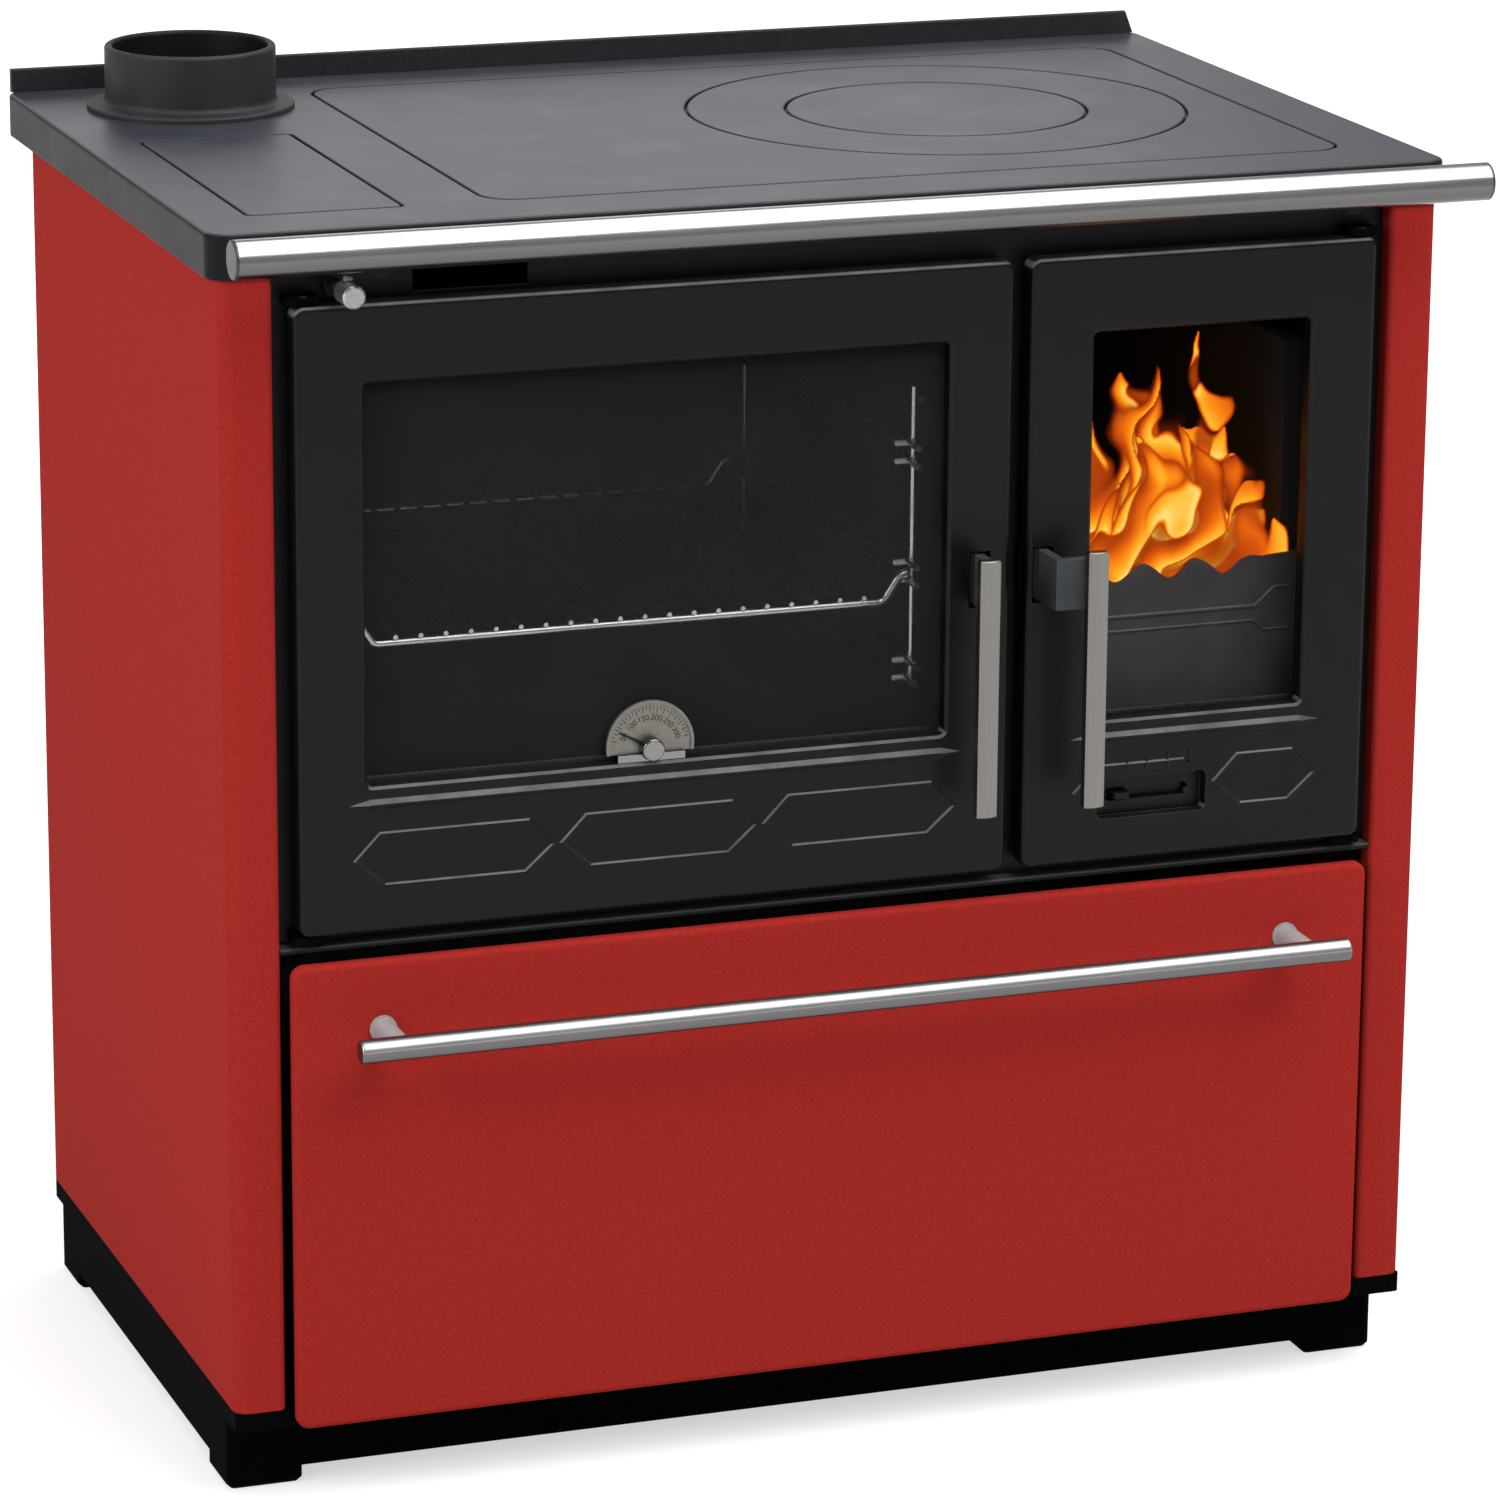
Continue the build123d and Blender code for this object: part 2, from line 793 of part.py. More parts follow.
def rack_runner(wall_x, inward):
    """Wire ladder on one oven wall: two uprights on pegs and three pairs of rails."""
    upright_x = wall_x + inward * runner_stand
    rail_x = wall_x + inward * wire_inset
    with BuildPart() as runner:
        with BuildSketch(level(runner_bottom)):
            with Locations(*[(upright_x, y) for y in upright_places]):
                Circle(runner_upright_d / 2)
        extrude(amount=runner_height)
        with BuildSketch(across(wall_x)):
            with Locations(*[(y, z) for y in upright_places for z in peg_levels]):
                Circle(runner_wire_d / 2)
        extrude(amount=inward * runner_stand)
        with BuildSketch(facing(front_y + runner_front)):
            with Locations(*[(rail_x, z + dz) for z in runner_levels for dz in (0, runner_pair)]):
                Circle(runner_wire_d / 2)
        extrude(amount=-runner_length)
    return runner.part


oven_runner_left = rack_runner(oven_left, 1)
oven_runner_right = rack_runner(oven_right, -1)

rack_y = front_y + rack_front
rack_depth = runner_length - rack_back_space
rack_side_z = runner_levels[rack_level] + (runner_wire_d + rack_bar_d) / 2 + flat_gap
rack_z = rack_side_z - rack_drop
rack_left_x = oven_left + wire_inset + rack_bar_d / 3
rack_right_x = oven_right - wire_inset - rack_bar_d / 3
rack_bar_path = [
    (rack_left_x, rack_side_z),
    (rack_left_x + rack_shoulder, rack_side_z),
    (rack_left_x + rack_shoulder + rack_bend, rack_z),
    (rack_right_x - rack_shoulder - rack_bend, rack_z),
    (rack_right_x - rack_shoulder, rack_side_z),
    (rack_right_x, rack_side_z),
]
wire_span = rack_right_x - rack_left_x - 2 * (rack_shoulder + rack_bend + rack_wire_inset)
wire_z = rack_z + (rack_bar_d + rack_wire_d) / 2 - runner_weld
with BuildPart() as oven_rack:
    for bar_y in (rack_y, rack_y + rack_depth):
        with BuildLine(facing(bar_y)) as bar_line:
            FilletPolyline(*rack_bar_path, radius=rack_bend_r)
        with BuildSketch(across(rack_left_x)):
            with Locations((bar_y, rack_side_z)):
                Circle(rack_bar_d / 2)
        sweep(path=bar_line.line)
    with BuildSketch(facing(rack_y)):
        with Locations((rack_left_x, rack_side_z), (rack_right_x, rack_side_z)):
            Circle(rack_bar_d / 2)
    extrude(amount=-rack_depth)
    with BuildSketch(facing(rack_y - rack_bar_d / 2)):
        with Locations((middle(rack_left_x, rack_right_x), wire_z)):
            with GridLocations(wire_span / (rack_wires - 1), 0, rack_wires, 1):
                Circle(rack_wire_d / 2)
    extrude(amount=-(rack_depth + rack_bar_d))

# Firebox: shell with grate ledges, grate, bricks, log guard and ash pan
fire_mid_x = middle(fire_shell_left, fire_shell_right)
fire_width = fire_shell_right - fire_shell_left
fire_floor = fire_sill - fire_shell_sheet
fire_back_y = inside_y + fire_shell_depth - fire_shell_sheet
fire_in_left = fire_shell_left + fire_shell_sheet
fire_in_right = fire_shell_right - fire_shell_sheet
with BuildPart() as firebox_shell:
    with BuildSketch(level(fire_floor)):
        with Locations((fire_mid_x, inside_y + fire_shell_depth / 2)):
            Rectangle(fire_width, fire_shell_depth)
    extrude(amount=fire_shell_top - fire_floor)
    with BuildSketch(level(fire_sill)):
        with Locations((fire_mid_x, middle(inside_y, fire_back_y))):
            Rectangle(fire_width - 2 * fire_shell_sheet, fire_back_y - inside_y)
    extrude(amount=fire_shell_top - fire_sill, mode=Mode.SUBTRACT)
    with BuildSketch(facing(inside_y)):
        with Locations(
            (fire_in_left + fire_ledge_width / 2, fire_ledge_z + fire_ledge_t / 2),
            (fire_in_right - fire_ledge_width / 2, fire_ledge_z + fire_ledge_t / 2),
        ):
            Rectangle(fire_ledge_width, fire_ledge_t)
    extrude(amount=-(fire_back_y - inside_y))

grate_front_y = inside_y + sheet
grate_slot_length = fire_shell_depth - 2 * grate_end
with BuildPart() as fire_grate:
    with BuildSketch(level(grate_z)):
        with Locations((fire_mid_x, middle(grate_front_y, fire_back_y - brick_gap))):
            Rectangle(fire_in_right - fire_in_left - 2 * brick_gap, fire_back_y - brick_gap - grate_front_y)
            with GridLocations(grate_slot_pitch, 0, grate_slots, 1):
                SlotOverall(grate_slot_length, grate_slot_width, rotation=90, mode=Mode.SUBTRACT)
    extrude(amount=grate_t)

brick_front_y = front_y + brick_front
brick_back_y = fire_back_y - brick_gap
brick_height = fire_shell_top - brick_head - hearth_z
with BuildPart() as firebricks:
    with BuildSketch(level(hearth_z)):
        with Locations(
            (fire_in_left + brick_gap + brick_t / 2, middle(brick_front_y, brick_back_y)),
            (fire_in_right - brick_gap - brick_t / 2, middle(brick_front_y, brick_back_y)),
        ):
            Rectangle(brick_t, brick_back_y - brick_front_y)
        with Locations((fire_mid_x, brick_back_y - brick_back_t / 2)):
            Rectangle(fire_in_right - fire_in_left - 2 * (brick_t + 2 * brick_gap), brick_back_t)
    extrude(amount=brick_height)
    chamfer(firebricks.faces().group_by(Axis.Z)[-1].edges(), brick_t / 6)

guard_mean = hearth_z + guard_up
guard_half = (fire_in_right - fire_in_left) / 2 - 2 * brick_gap
guard_waves = int(2 * guard_half / guard_pitch) + 1
guard_points = [
    (fire_mid_x + guard_half * (i / guard_waves - 1), guard_mean + (-1) ** i * guard_wave)
    for i in range(2 * guard_waves + 1)
]
with BuildPart() as log_guard:
    with BuildSketch(facing(brick_front_y)):
        with BuildLine():
            Spline(*guard_points, tangents=[(1, 0), (1, 0)])
            Polyline(
                guard_points[-1],
                (fire_mid_x + guard_half, hearth_z),
                (fire_mid_x - guard_half, hearth_z),
                guard_points[0],
            )
        make_face()
    extrude(amount=guard_t)

ash_pan_width = fire_right - fire_left - 2 * ash_pan_gap
ash_mid_x = middle(fire_left, fire_right)
ash_pan_y = front_y + ash_pan_front
ash_pan_depth = fire_shell_depth - ash_pan_space
ash_pan_z = fire_sill + flat_gap
with BuildPart() as ash_pan:
    with BuildSketch(level(ash_pan_z)):
        with Locations((ash_mid_x, ash_pan_y + ash_pan_depth / 2)):
            RectangleRounded(ash_pan_width, ash_pan_depth, fold_corner)
    extrude(amount=ash_pan_height)
    offset(amount=-sheet, openings=ash_pan.faces().sort_by(Axis.Z)[-1])
    with BuildSketch(level(ash_pan_z + ash_pan_height / 2)):
        with Locations((ash_mid_x, ash_pan_y - ash_pull_reach / 2)):
            RectangleRounded(ash_pull_width, ash_pull_reach + sheet, fold_corner)
            with Locations((0, sheet)):
                Rectangle(ash_pull_width - 4 * sheet, ash_pull_reach - sheet, mode=Mode.SUBTRACT)
    extrude(amount=ash_pull_height / 2)

# Doors
def pointed_outline(half_length, half_height, point):
    """Corners of a long hexagon whose pointed ends are each point long."""
    flat = half_length - point
    return [
        (-half_length, 0),
        (-flat, half_height),
        (flat, half_height),
        (half_length, 0),
        (flat, -half_height),
        (-flat, -half_height),
    ]


def door_casting(left, right, window_left, window_right, hinge_x, pivot_x):
    """Cast door with a glazed window, hinge bores at one edge and a lever slot at the other."""
    with BuildPart() as casting:
        with BuildSketch(facing(door_back_y)):
            with Locations((middle(left, right), door_mid_z)):
                RectangleRounded(right - left, door_top - door_bottom, door_corner)
        extrude(amount=door_t)
        fillet(casting.faces().sort_by(Axis.Y)[0].edges(), door_round)
        with BuildSketch(facing(door_front_y)):
            with Locations((middle(window_left, window_right), window_mid_z)):
                RectangleRounded(window_right - window_left, window_height, window_corner)
        extrude(amount=-door_t, mode=Mode.SUBTRACT)
        chamfer(casting.faces().sort_by(Axis.Y)[0].inner_wires().edges(), window_bevel)
        with BuildSketch(facing(door_back_y)):
            with Locations((middle(window_left, window_right), window_mid_z)):
                RectangleRounded(
                    window_right - window_left + 2 * (glass_lap + glass_gap),
                    window_height + 2 * (glass_lap + glass_gap),
                    window_corner,
                )
        extrude(amount=glass_t, mode=Mode.SUBTRACT)
        with BuildSketch(facing(door_front_y)):
            with Locations((pivot_x, lever_mid_z)):
                Rectangle(lever_slot_width, lever_height + 2 * lever_slot_gap)
        extrude(amount=-door_t, mode=Mode.SUBTRACT)
        with BuildSketch(level(door_bottom)):
            with Locations((hinge_x, hinge_y)):
                Circle(hinge_pin_d / 2 + pin_gap)
        extrude(amount=hinge_pin_depth + flat_gap, mode=Mode.SUBTRACT)
        with BuildSketch(level(door_top)):
            with Locations((hinge_x, hinge_y)):
                Circle(hinge_pin_d / 2 + pin_gap)
        extrude(amount=-(hinge_pin_depth + flat_gap), mode=Mode.SUBTRACT)
        with BuildSketch(level(lever_bottom - latch_pin_grip)):
            with Locations((pivot_x, hinge_y)):
                Circle(latch_pin_d / 2)
        extrude(amount=lever_height + 2 * latch_pin_grip, mode=Mode.SUBTRACT)
        ledge_half = (right - left) / 2 - ledge_inset
        with BuildSketch(facing(door_front_y)):
            with Locations((middle(left, right), window_bottom - ledge_drop)):
                Polygon(*pointed_outline(ledge_half, ledge_height / 2, ledge_point), align=None)
        extrude(amount=ledge_rise, taper=ledge_taper)
    return casting.part


def door_bead(mid_x, length):
    """Raised line round a long hexagon on the lower part of a door."""
    with BuildPart() as bead:
        with BuildSketch(facing(door_front_y)):
            with Locations((mid_x, door_bottom + bead_up)):
                Polygon(*pointed_outline(length / 2, bead_height / 2, bead_point), align=None)
                Polygon(
                    *pointed_outline(
                        length / 2 - bead_point_width, bead_height / 2 - bead_width, bead_point
                    ),
                    align=None,
                    mode=Mode.SUBTRACT,
                )
        extrude(amount=bead_rise, taper=bead_taper)
    return bead.part


oven_hinge_x = oven_door_left + hinge_inset
fire_hinge_x = fire_door_right - hinge_inset
oven_door_mid = middle(oven_door_left, oven_door_right)
oven_bead_pitch = (oven_door_right - oven_door_left - 2 * oven_bead_margin) / oven_bead_count
oven_casting = door_casting(
    oven_door_left, oven_door_right, oven_window_left, oven_window_right, oven_hinge_x, oven_pivot_x
)
fire_casting = door_casting(
    fire_door_left, fire_door_right, fire_window_left, fire_window_right, fire_hinge_x, fire_pivot_x
)
oven_beads = [
    door_bead(oven_door_mid + (i - (oven_bead_count - 1) / 2) * oven_bead_pitch, oven_bead_pitch - bead_gap)
    for i in range(oven_bead_count)
]
slider_bead_left = pocket_left - bead_point
slider_bead_right = pocket_right + bead_gap
right_bead_left = slider_bead_right + bead_gap
right_bead_right = fire_door_right - ledge_inset
fire_beads = [
    door_bead(middle(slider_bead_left, slider_bead_right), slider_bead_right - slider_bead_left),
    door_bead(middle(right_bead_left, right_bead_right), right_bead_right - right_bead_left),
]

with BuildPart() as oven_door:
    add(oven_casting)
    for bead in oven_beads:
        add(bead)

pocket_mid = (middle(pocket_left, pocket_right), pocket_bottom + pocket_height / 2)
slider_slot_mid = (pocket_left + slider_slot_inset + slider_slot_length / 2, pocket_mid[1])
with BuildPart() as fire_door:
    add(fire_casting)
    for bead in fire_beads:
        add(bead)
    with BuildSketch(facing(door_front_y - bead_rise)):
        with Locations(pocket_mid):
            RectangleRounded(pocket_right - pocket_left, pocket_height, window_corner)
    extrude(amount=-(pocket_depth + bead_rise), mode=Mode.SUBTRACT)
    with BuildSketch(facing(door_front_y)):
        with Locations(slider_slot_mid):
            SlotOverall(slider_slot_length, slider_slot_height)
    extrude(amount=-door_t, mode=Mode.SUBTRACT)


def door_glass(window_left, window_right):
    with BuildPart() as pane:
        with BuildSketch(facing(door_back_y)):
            with Locations((middle(window_left, window_right), window_mid_z)):
                RectangleRounded(
                    window_right - window_left + 2 * glass_lap, window_height + 2 * glass_lap, window_corner
                )
        extrude(amount=glass_t)
    return pane.part


def glass_retainers(window_left, window_right):
    """Strips that clamp the pane along its upper and lower edges."""
    with BuildPart() as strips:
        with BuildSketch(facing(door_back_y)):
            with Locations((middle(window_left, window_right), window_mid_z)):
                with GridLocations(0, window_height + glass_lap, 1, 2):
                    RectangleRounded(window_right - window_left, retainer_width, fold_corner)
        extrude(amount=-retainer_t)
    return strips.part


def rope_seal(left, right, bottom, top):
    """Rope gasket round a mouth, seated on the back of its door."""
    width = right - left + 2 * seal_inset
    height = top - bottom + 2 * seal_inset
    with BuildPart() as rope:
        with BuildSketch(facing(door_back_y)):
            with Locations((middle(left, right), middle(bottom, top))):
                RectangleRounded(width + 2 * seal_width, height + 2 * seal_width, 2 * seal_width)
                RectangleRounded(width, height, seal_width, mode=Mode.SUBTRACT)
        extrude(amount=-(frame_y - door_back_y - flat_gap))
        fillet(rope.faces().sort_by(Axis.Y)[-1].edges(), seal_round)
    return rope.part


oven_glass = door_glass(oven_window_left, oven_window_right)
fire_glass = door_glass(fire_window_left, fire_window_right)
oven_glass_retainers = glass_retainers(oven_window_left, oven_window_right)
fire_glass_retainers = glass_retainers(fire_window_left, fire_window_right)
oven_door_seal = rope_seal(oven_left, oven_right, oven_floor, mouth_top)
fire_door_seal = rope_seal(fire_left, fire_right, fire_sill, mouth_top)

# Hinges: tabs on the frame and fixed pins that the doors turn on
tab_bottom = door_bottom - flat_gap - hinge_tab_t
tab_top = door_top + flat_gap
tab_mid_y = frame_y - hinge_tab_reach / 2
hinge_places = [(oven_hinge_x, hinge_y), (fire_hinge_x, hinge_y)]
with BuildPart() as hinge_brackets:
    for tab_z in (tab_bottom, tab_top):
        with BuildSketch(level(tab_z)):
            with Locations((oven_hinge_x, tab_mid_y), (fire_hinge_x, tab_mid_y)):
                Rectangle(hinge_tab_width, hinge_tab_reach)
            with Locations(*hinge_places):
                Circle(hinge_pin_d / 2, mode=Mode.SUBTRACT)
        extrude(amount=hinge_tab_t)
    tab_edges = hinge_brackets.edges().filter_by(Axis.Z).filter_by(GeomType.LINE)
    fillet(tab_edges.group_by(Axis.Y)[0], hinge_tab_width / 4)

with BuildPart() as hinge_pins:
    for pin_z in (tab_bottom, door_top - hinge_pin_depth):
        with BuildSketch(level(pin_z)):
            with Locations(*hinge_places):
                Circle(hinge_pin_d / 2)
        extrude(amount=hinge_tab_t + flat_gap + hinge_pin_depth)


# Latch levers, their pins and the steel grips
def latch_lever(pivot_x, grip_x):
    """Crank from the grip through the door slot to the nose behind the frame."""
    with BuildPart() as lever:
        with BuildSketch(level(lever_bottom)):
            with Locations((pivot_x, middle(grip_back_y, hinge_y + lever_nose))):
                Rectangle(lever_t, hinge_y + lever_nose - grip_back_y)
            with Locations((pivot_x, hinge_y)):
                Circle(lever_boss_d / 2)
            with Locations((middle(pivot_x, grip_x), grip_back_y + lever_t / 2)):
                Rectangle(abs(grip_x - pivot_x) + lever_t, lever_t)
            with Locations((pivot_x, hinge_y)):
                Circle(latch_pin_d / 2 + pin_gap, mode=Mode.SUBTRACT)
        extrude(amount=lever_height)
        fillet(lever.edges().filter_by(Axis.Z).group_by(Axis.Y)[-1], lever_t / 3)
    return lever.part


def latch_pin(pivot_x):
    with BuildPart() as pin:
        with BuildSketch(level(lever_bottom - latch_pin_grip)):
            with Locations((pivot_x, hinge_y)):
                Circle(latch_pin_d / 2)
        extrude(amount=lever_height + 2 * latch_pin_grip)
    return pin.part


def grip_bar(grip_x):
    """Flat upright bar with a slightly crowned face and softened ends."""
    front = grip_back_y - grip_t
    half = grip_width / 2
    with BuildPart() as bar:
        with BuildSketch(level(grip_bottom)):
            with BuildLine():
                ThreePointArc(
                    (grip_x - half, front + grip_crown), (grip_x, front), (grip_x + half, front + grip_crown)
                )
                Polyline(
                    (grip_x + half, front + grip_crown),
                    (grip_x + half, grip_back_y),
                    (grip_x - half, grip_back_y),
                    (grip_x - half, front + grip_crown),
                )
            make_face()
        extrude(amount=grip_length)
        chamfer(bar.faces().sort_by(Axis.Z)[-1].edges(), grip_crown / 2)
        chamfer(bar.faces().sort_by(Axis.Z)[0].edges(), grip_crown / 2)
    return bar.part


oven_latch_lever = latch_lever(oven_pivot_x, oven_grip_x)
fire_latch_lever = latch_lever(fire_pivot_x, fire_grip_x)
oven_latch_pin = latch_pin(oven_pivot_x)
fire_latch_pin = latch_pin(fire_pivot_x)
oven_grip = grip_bar(oven_grip_x)
fire_grip = grip_bar(fire_grip_x)

# Air slider behind the fire door, with its guides
slider_y = door_back_y + flat_gap
with BuildPart() as air_slider:
    with BuildSketch(facing(slider_y)):
        with Locations((slider_left + slider_length / 2, pocket_mid[1])):
            Rectangle(slider_length, slider_height)
    extrude(amount=-slider_t)
    with BuildSketch(facing(slider_y)):
        with Locations((slider_left + slider_tab_inset, pocket_mid[1])):
            Rectangle(slider_tab_width, slider_tab_t)
    extrude(amount=slider_tab_reach)
    fillet(air_slider.edges().filter_by(Axis.Z).group_by(Axis.Y)[0], slider_tab_width / 4)

guide_mid_x = slider_left + guide_length / 2
guide_base = slider_t + 2 * flat_gap
with BuildPart() as slider_guides:
    for side in (-1, 1):
        edge_z = pocket_mid[1] + side * (slider_height / 2 + flat_gap)
        with BuildSketch(facing(door_back_y)):
            with Locations((guide_mid_x, edge_z + side * guide_wall / 2)):
                Rectangle(guide_length, guide_wall)
        extrude(amount=-guide_base)
        with BuildSketch(facing(door_back_y + guide_base)):
            with Locations((guide_mid_x, edge_z + side * (guide_wall - guide_lip) / 2)):
                Rectangle(guide_length, guide_wall + guide_lip)
        extrude(amount=-guide_wall / 2)

# Oven thermometer on the window sill
dial_x = middle(oven_window_left, oven_window_right) - dial_offset
dial_z = window_bottom + dial_up
hub_z = window_bottom + hub_up
dial_y = glass_front_y - dial_stand
with BuildPart() as thermometer_dial:
    with BuildSketch(facing(dial_y)):
        with Locations((dial_x, dial_z)):
            Circle(dial_d / 2)
        with Locations((dial_x, window_bottom + dial_bracket_height - dial_d / 2)):
            Rectangle(dial_d, dial_d, mode=Mode.SUBTRACT)
        with Locations((dial_x, hub_z)):
            Circle(needle_shaft_d / 2 + pin_gap, mode=Mode.SUBTRACT)
    extrude(amount=dial_t)
    with BuildSketch(facing(dial_y - dial_t)):
        with Locations((dial_x, dial_z)):
            Circle(dial_d / 2)
            Circle(dial_d / 2 - dial_rim, mode=Mode.SUBTRACT)
        with Locations((dial_x, window_bottom + dial_bracket_height - dial_d / 2)):
            Rectangle(dial_d, dial_d, mode=Mode.SUBTRACT)
    extrude(amount=dial_rim_rise)

with BuildPart() as thermometer_bracket:
    with BuildSketch(facing(dial_y)):
        with Locations((dial_x, window_bottom + dial_bracket_height / 2)):
            Rectangle(dial_bracket_length, dial_bracket_height)
    extrude(amount=dial_bracket_depth - hub_length / 3)
    with BuildSketch(facing(dial_y)):
        with Locations((dial_x, hub_z)):
            Circle(hub_d / 2 + flat_gap)
    extrude(amount=dial_bracket_depth, mode=Mode.SUBTRACT)

needle_y = dial_y - dial_t - flat_gap
with BuildPart() as thermometer_needle:
    with BuildSketch(facing(needle_y)):
        with Locations((dial_x, hub_z)):
            Circle(needle_eye_d / 2)
            Polygon(
                (-needle_width / 2, 0),
                (needle_width / 2, 0),
                (needle_width / 6, needle_length),
                (-needle_width / 6, needle_length),
                rotation=needle_rest,
                align=None,
            )
    extrude(amount=needle_t)
    with BuildSketch(facing(dial_y)):
        with Locations((dial_x, hub_z)):
            Circle(needle_shaft_d / 2)
    extrude(amount=dial_t + flat_gap)

with BuildPart() as thermometer_hub:
    with BuildSketch(facing(needle_y - needle_t - flat_gap)):
        with Locations((dial_x, hub_z)):
            Circle(hub_d / 2)
    extrude(amount=hub_length - dial_t)
    fillet(thermometer_hub.faces().sort_by(Axis.Y)[0].edges(), hub_d / 10)

# Flue damper: rod with knob and plate, guide bush, and the divider it slides on
rod_front_y = front_y - damper_knob_front + damper_knob_length / 2
rod_back_y = collar_y + damper_rod_past
with BuildPart() as damper_rod:
    with BuildSketch(facing(rod_front_y)):
        with Locations((damper_x, damper_z)):
            Circle(damper_rod_d / 2)
    extrude(amount=-(rod_back_y - rod_front_y))

with BuildPart() as damper_knob:
    with BuildSketch(facing(front_y - damper_knob_front + damper_knob_length)):
        with Locations((damper_x, damper_z)):
            Circle(damper_knob_d / 2)
    extrude(amount=damper_knob_length)
    chamfer(damper_knob.faces().sort_by(Axis.Y)[0].edges(), damper_knob_d / 12)
    with BuildSketch(facing(rod_front_y)):
        with Locations((damper_x, damper_z)):
            Circle(damper_rod_d / 2)
    extrude(amount=-damper_knob_length, mode=Mode.SUBTRACT)

with BuildPart() as damper_bush:
    with BuildSketch(facing(frame_y)):
        with Locations((damper_x, damper_z)):
            Circle(damper_bush_d / 2)
    extrude(amount=damper_bush_length)
    with BuildSketch(facing(frame_y)):
        with Locations((damper_x, damper_z)):
            Circle(damper_bush_spigot_d / 2)
    extrude(amount=-2 * frame_t)
    with BuildSketch(facing(frame_y - damper_bush_length)):
        with Locations((damper_x, damper_z)):
            Circle(damper_rod_d / 2 + pin_gap)
    extrude(amount=-(damper_bush_length + 2 * frame_t), mode=Mode.SUBTRACT)

divider_z = hob_under - divider_drop
divider_top = divider_z + divider_t
divider_left = casing_left + divider_side_gap
divider_right = collar_x + divider_reach
divider_front_y = collar_y - divider_lead
plate_back_y = rod_back_y
plate_front_y = plate_back_y - damper_plate_length
plate_z = divider_top + flat_gap
with BuildPart() as damper_plate:
    with BuildSketch(level(plate_z)):
        with Locations((damper_x, middle(plate_front_y, plate_back_y))):
            RectangleRounded(damper_plate_width, damper_plate_length, fold_corner)
    extrude(amount=damper_plate_t)
    for lug_y in (plate_front_y, plate_back_y - damper_lug_t):
        with BuildSketch(facing(lug_y)):
            with Locations((damper_x, middle(plate_z, damper_z))):
                Rectangle(damper_lug_width, damper_z - plate_z)
            with Locations((damper_x, damper_z)):
                Circle(damper_lug_width / 2)
                Circle(damper_rod_d / 2, mode=Mode.SUBTRACT)
        extrude(amount=-damper_lug_t)

oven_roof = mouth_top + sheet
divider_mid = (middle(divider_left, divider_right), middle(divider_front_y, back_panel_y))
with BuildPart() as flue_divider:
    with BuildSketch(level(divider_z)):
        with Locations(divider_mid):
            Rectangle(divider_right - divider_left, back_panel_y - divider_front_y)
        with Locations((damper_x, middle(plate_front_y, plate_back_y))):
            Rectangle(port_width, port_length, mode=Mode.SUBTRACT)
    extrude(amount=divider_t)
    with BuildSketch(facing(divider_front_y)):
        with Locations((middle(oven_left, divider_right), middle(oven_roof, divider_z))):
            Rectangle(divider_right - oven_left, divider_z - oven_roof)
    extrude(amount=-divider_t)

# Wood drawer: folded front, box, handle and the rails it runs on
drawer_mid_z = middle(drawer_bottom, drawer_top)
drawer_sheet_y = drawer_front_y + sheet
with BuildPart() as drawer_front:
    with BuildSketch(facing(front_y - drawer_clear)):
        with Locations((0, drawer_mid_z)):
            RectangleRounded(drawer_width, drawer_top - drawer_bottom, drawer_corner)
    extrude(amount=drawer_proud - drawer_clear)
    fillet(drawer_front.faces().sort_by(Axis.Y)[0].edges(), drawer_round)
    offset(amount=-sheet, openings=drawer_front.faces().sort_by(Axis.Y)[-1])

box_width = drawer_width - 2 * box_inset
box_bottom = tray_top + box_rise
box_height = drawer_top - box_head - box_bottom
box_back_y = front_y + panel_depth - box_back_space
with BuildPart() as drawer_box:
    with BuildSketch(level(box_bottom)):
        with Locations((0, middle(drawer_sheet_y, box_back_y))):
            Rectangle(box_width, box_back_y - drawer_sheet_y)
    extrude(amount=box_height)
    offset(amount=-sheet, openings=drawer_box.faces().sort_by(Axis.Z)[-1])
    with BuildSketch(level(box_bottom + box_height - sheet)):
        with Locations((0, middle(drawer_sheet_y, box_back_y))):
            Rectangle(box_width, box_back_y - drawer_sheet_y)
            Rectangle(
                box_width - 2 * box_rim, box_back_y - drawer_sheet_y - 2 * box_rim, mode=Mode.SUBTRACT
            )
    extrude(amount=sheet)

rail_top = box_bottom - flat_gap
with BuildPart() as drawer_runners:
    for side in (-1, 1):
        wall_x = side * (box_width / 2 + flat_gap + sheet / 2)
        with BuildSketch(facing(front_y + runner_rail_front)):
            with Locations((wall_x - side * (runner_rail_width - sheet) / 2, middle(tray_top, rail_top))):
                Rectangle(runner_rail_width, rail_top - tray_top)
            with Locations((wall_x, middle(tray_top, rail_top + runner_rail_wall))):
                Rectangle(sheet, rail_top + runner_rail_wall - tray_top)
        extrude(amount=-(panel_depth - runner_rail_space - runner_rail_front))

pull_bar_y = drawer_front_y - pull_bar_stand
pull_bar_z = drawer_top - pull_bar_drop
pull_bar_length = drawer_width - 2 * pull_bar_inset
pull_post_x = pull_bar_length / 2 - pull_post_inset
pull_post_places = [(-pull_post_x, pull_bar_z), (pull_post_x, pull_bar_z)]
with BuildPart() as drawer_handle_bar:
    with BuildSketch(across(-pull_bar_length / 2)):
        with Locations((pull_bar_y, pull_bar_z)):
            Circle(pull_bar_d / 2)
    extrude(amount=pull_bar_length)
    fillet(drawer_handle_bar.edges().filter_by(GeomType.CIRCLE), pull_bar_d / 10)

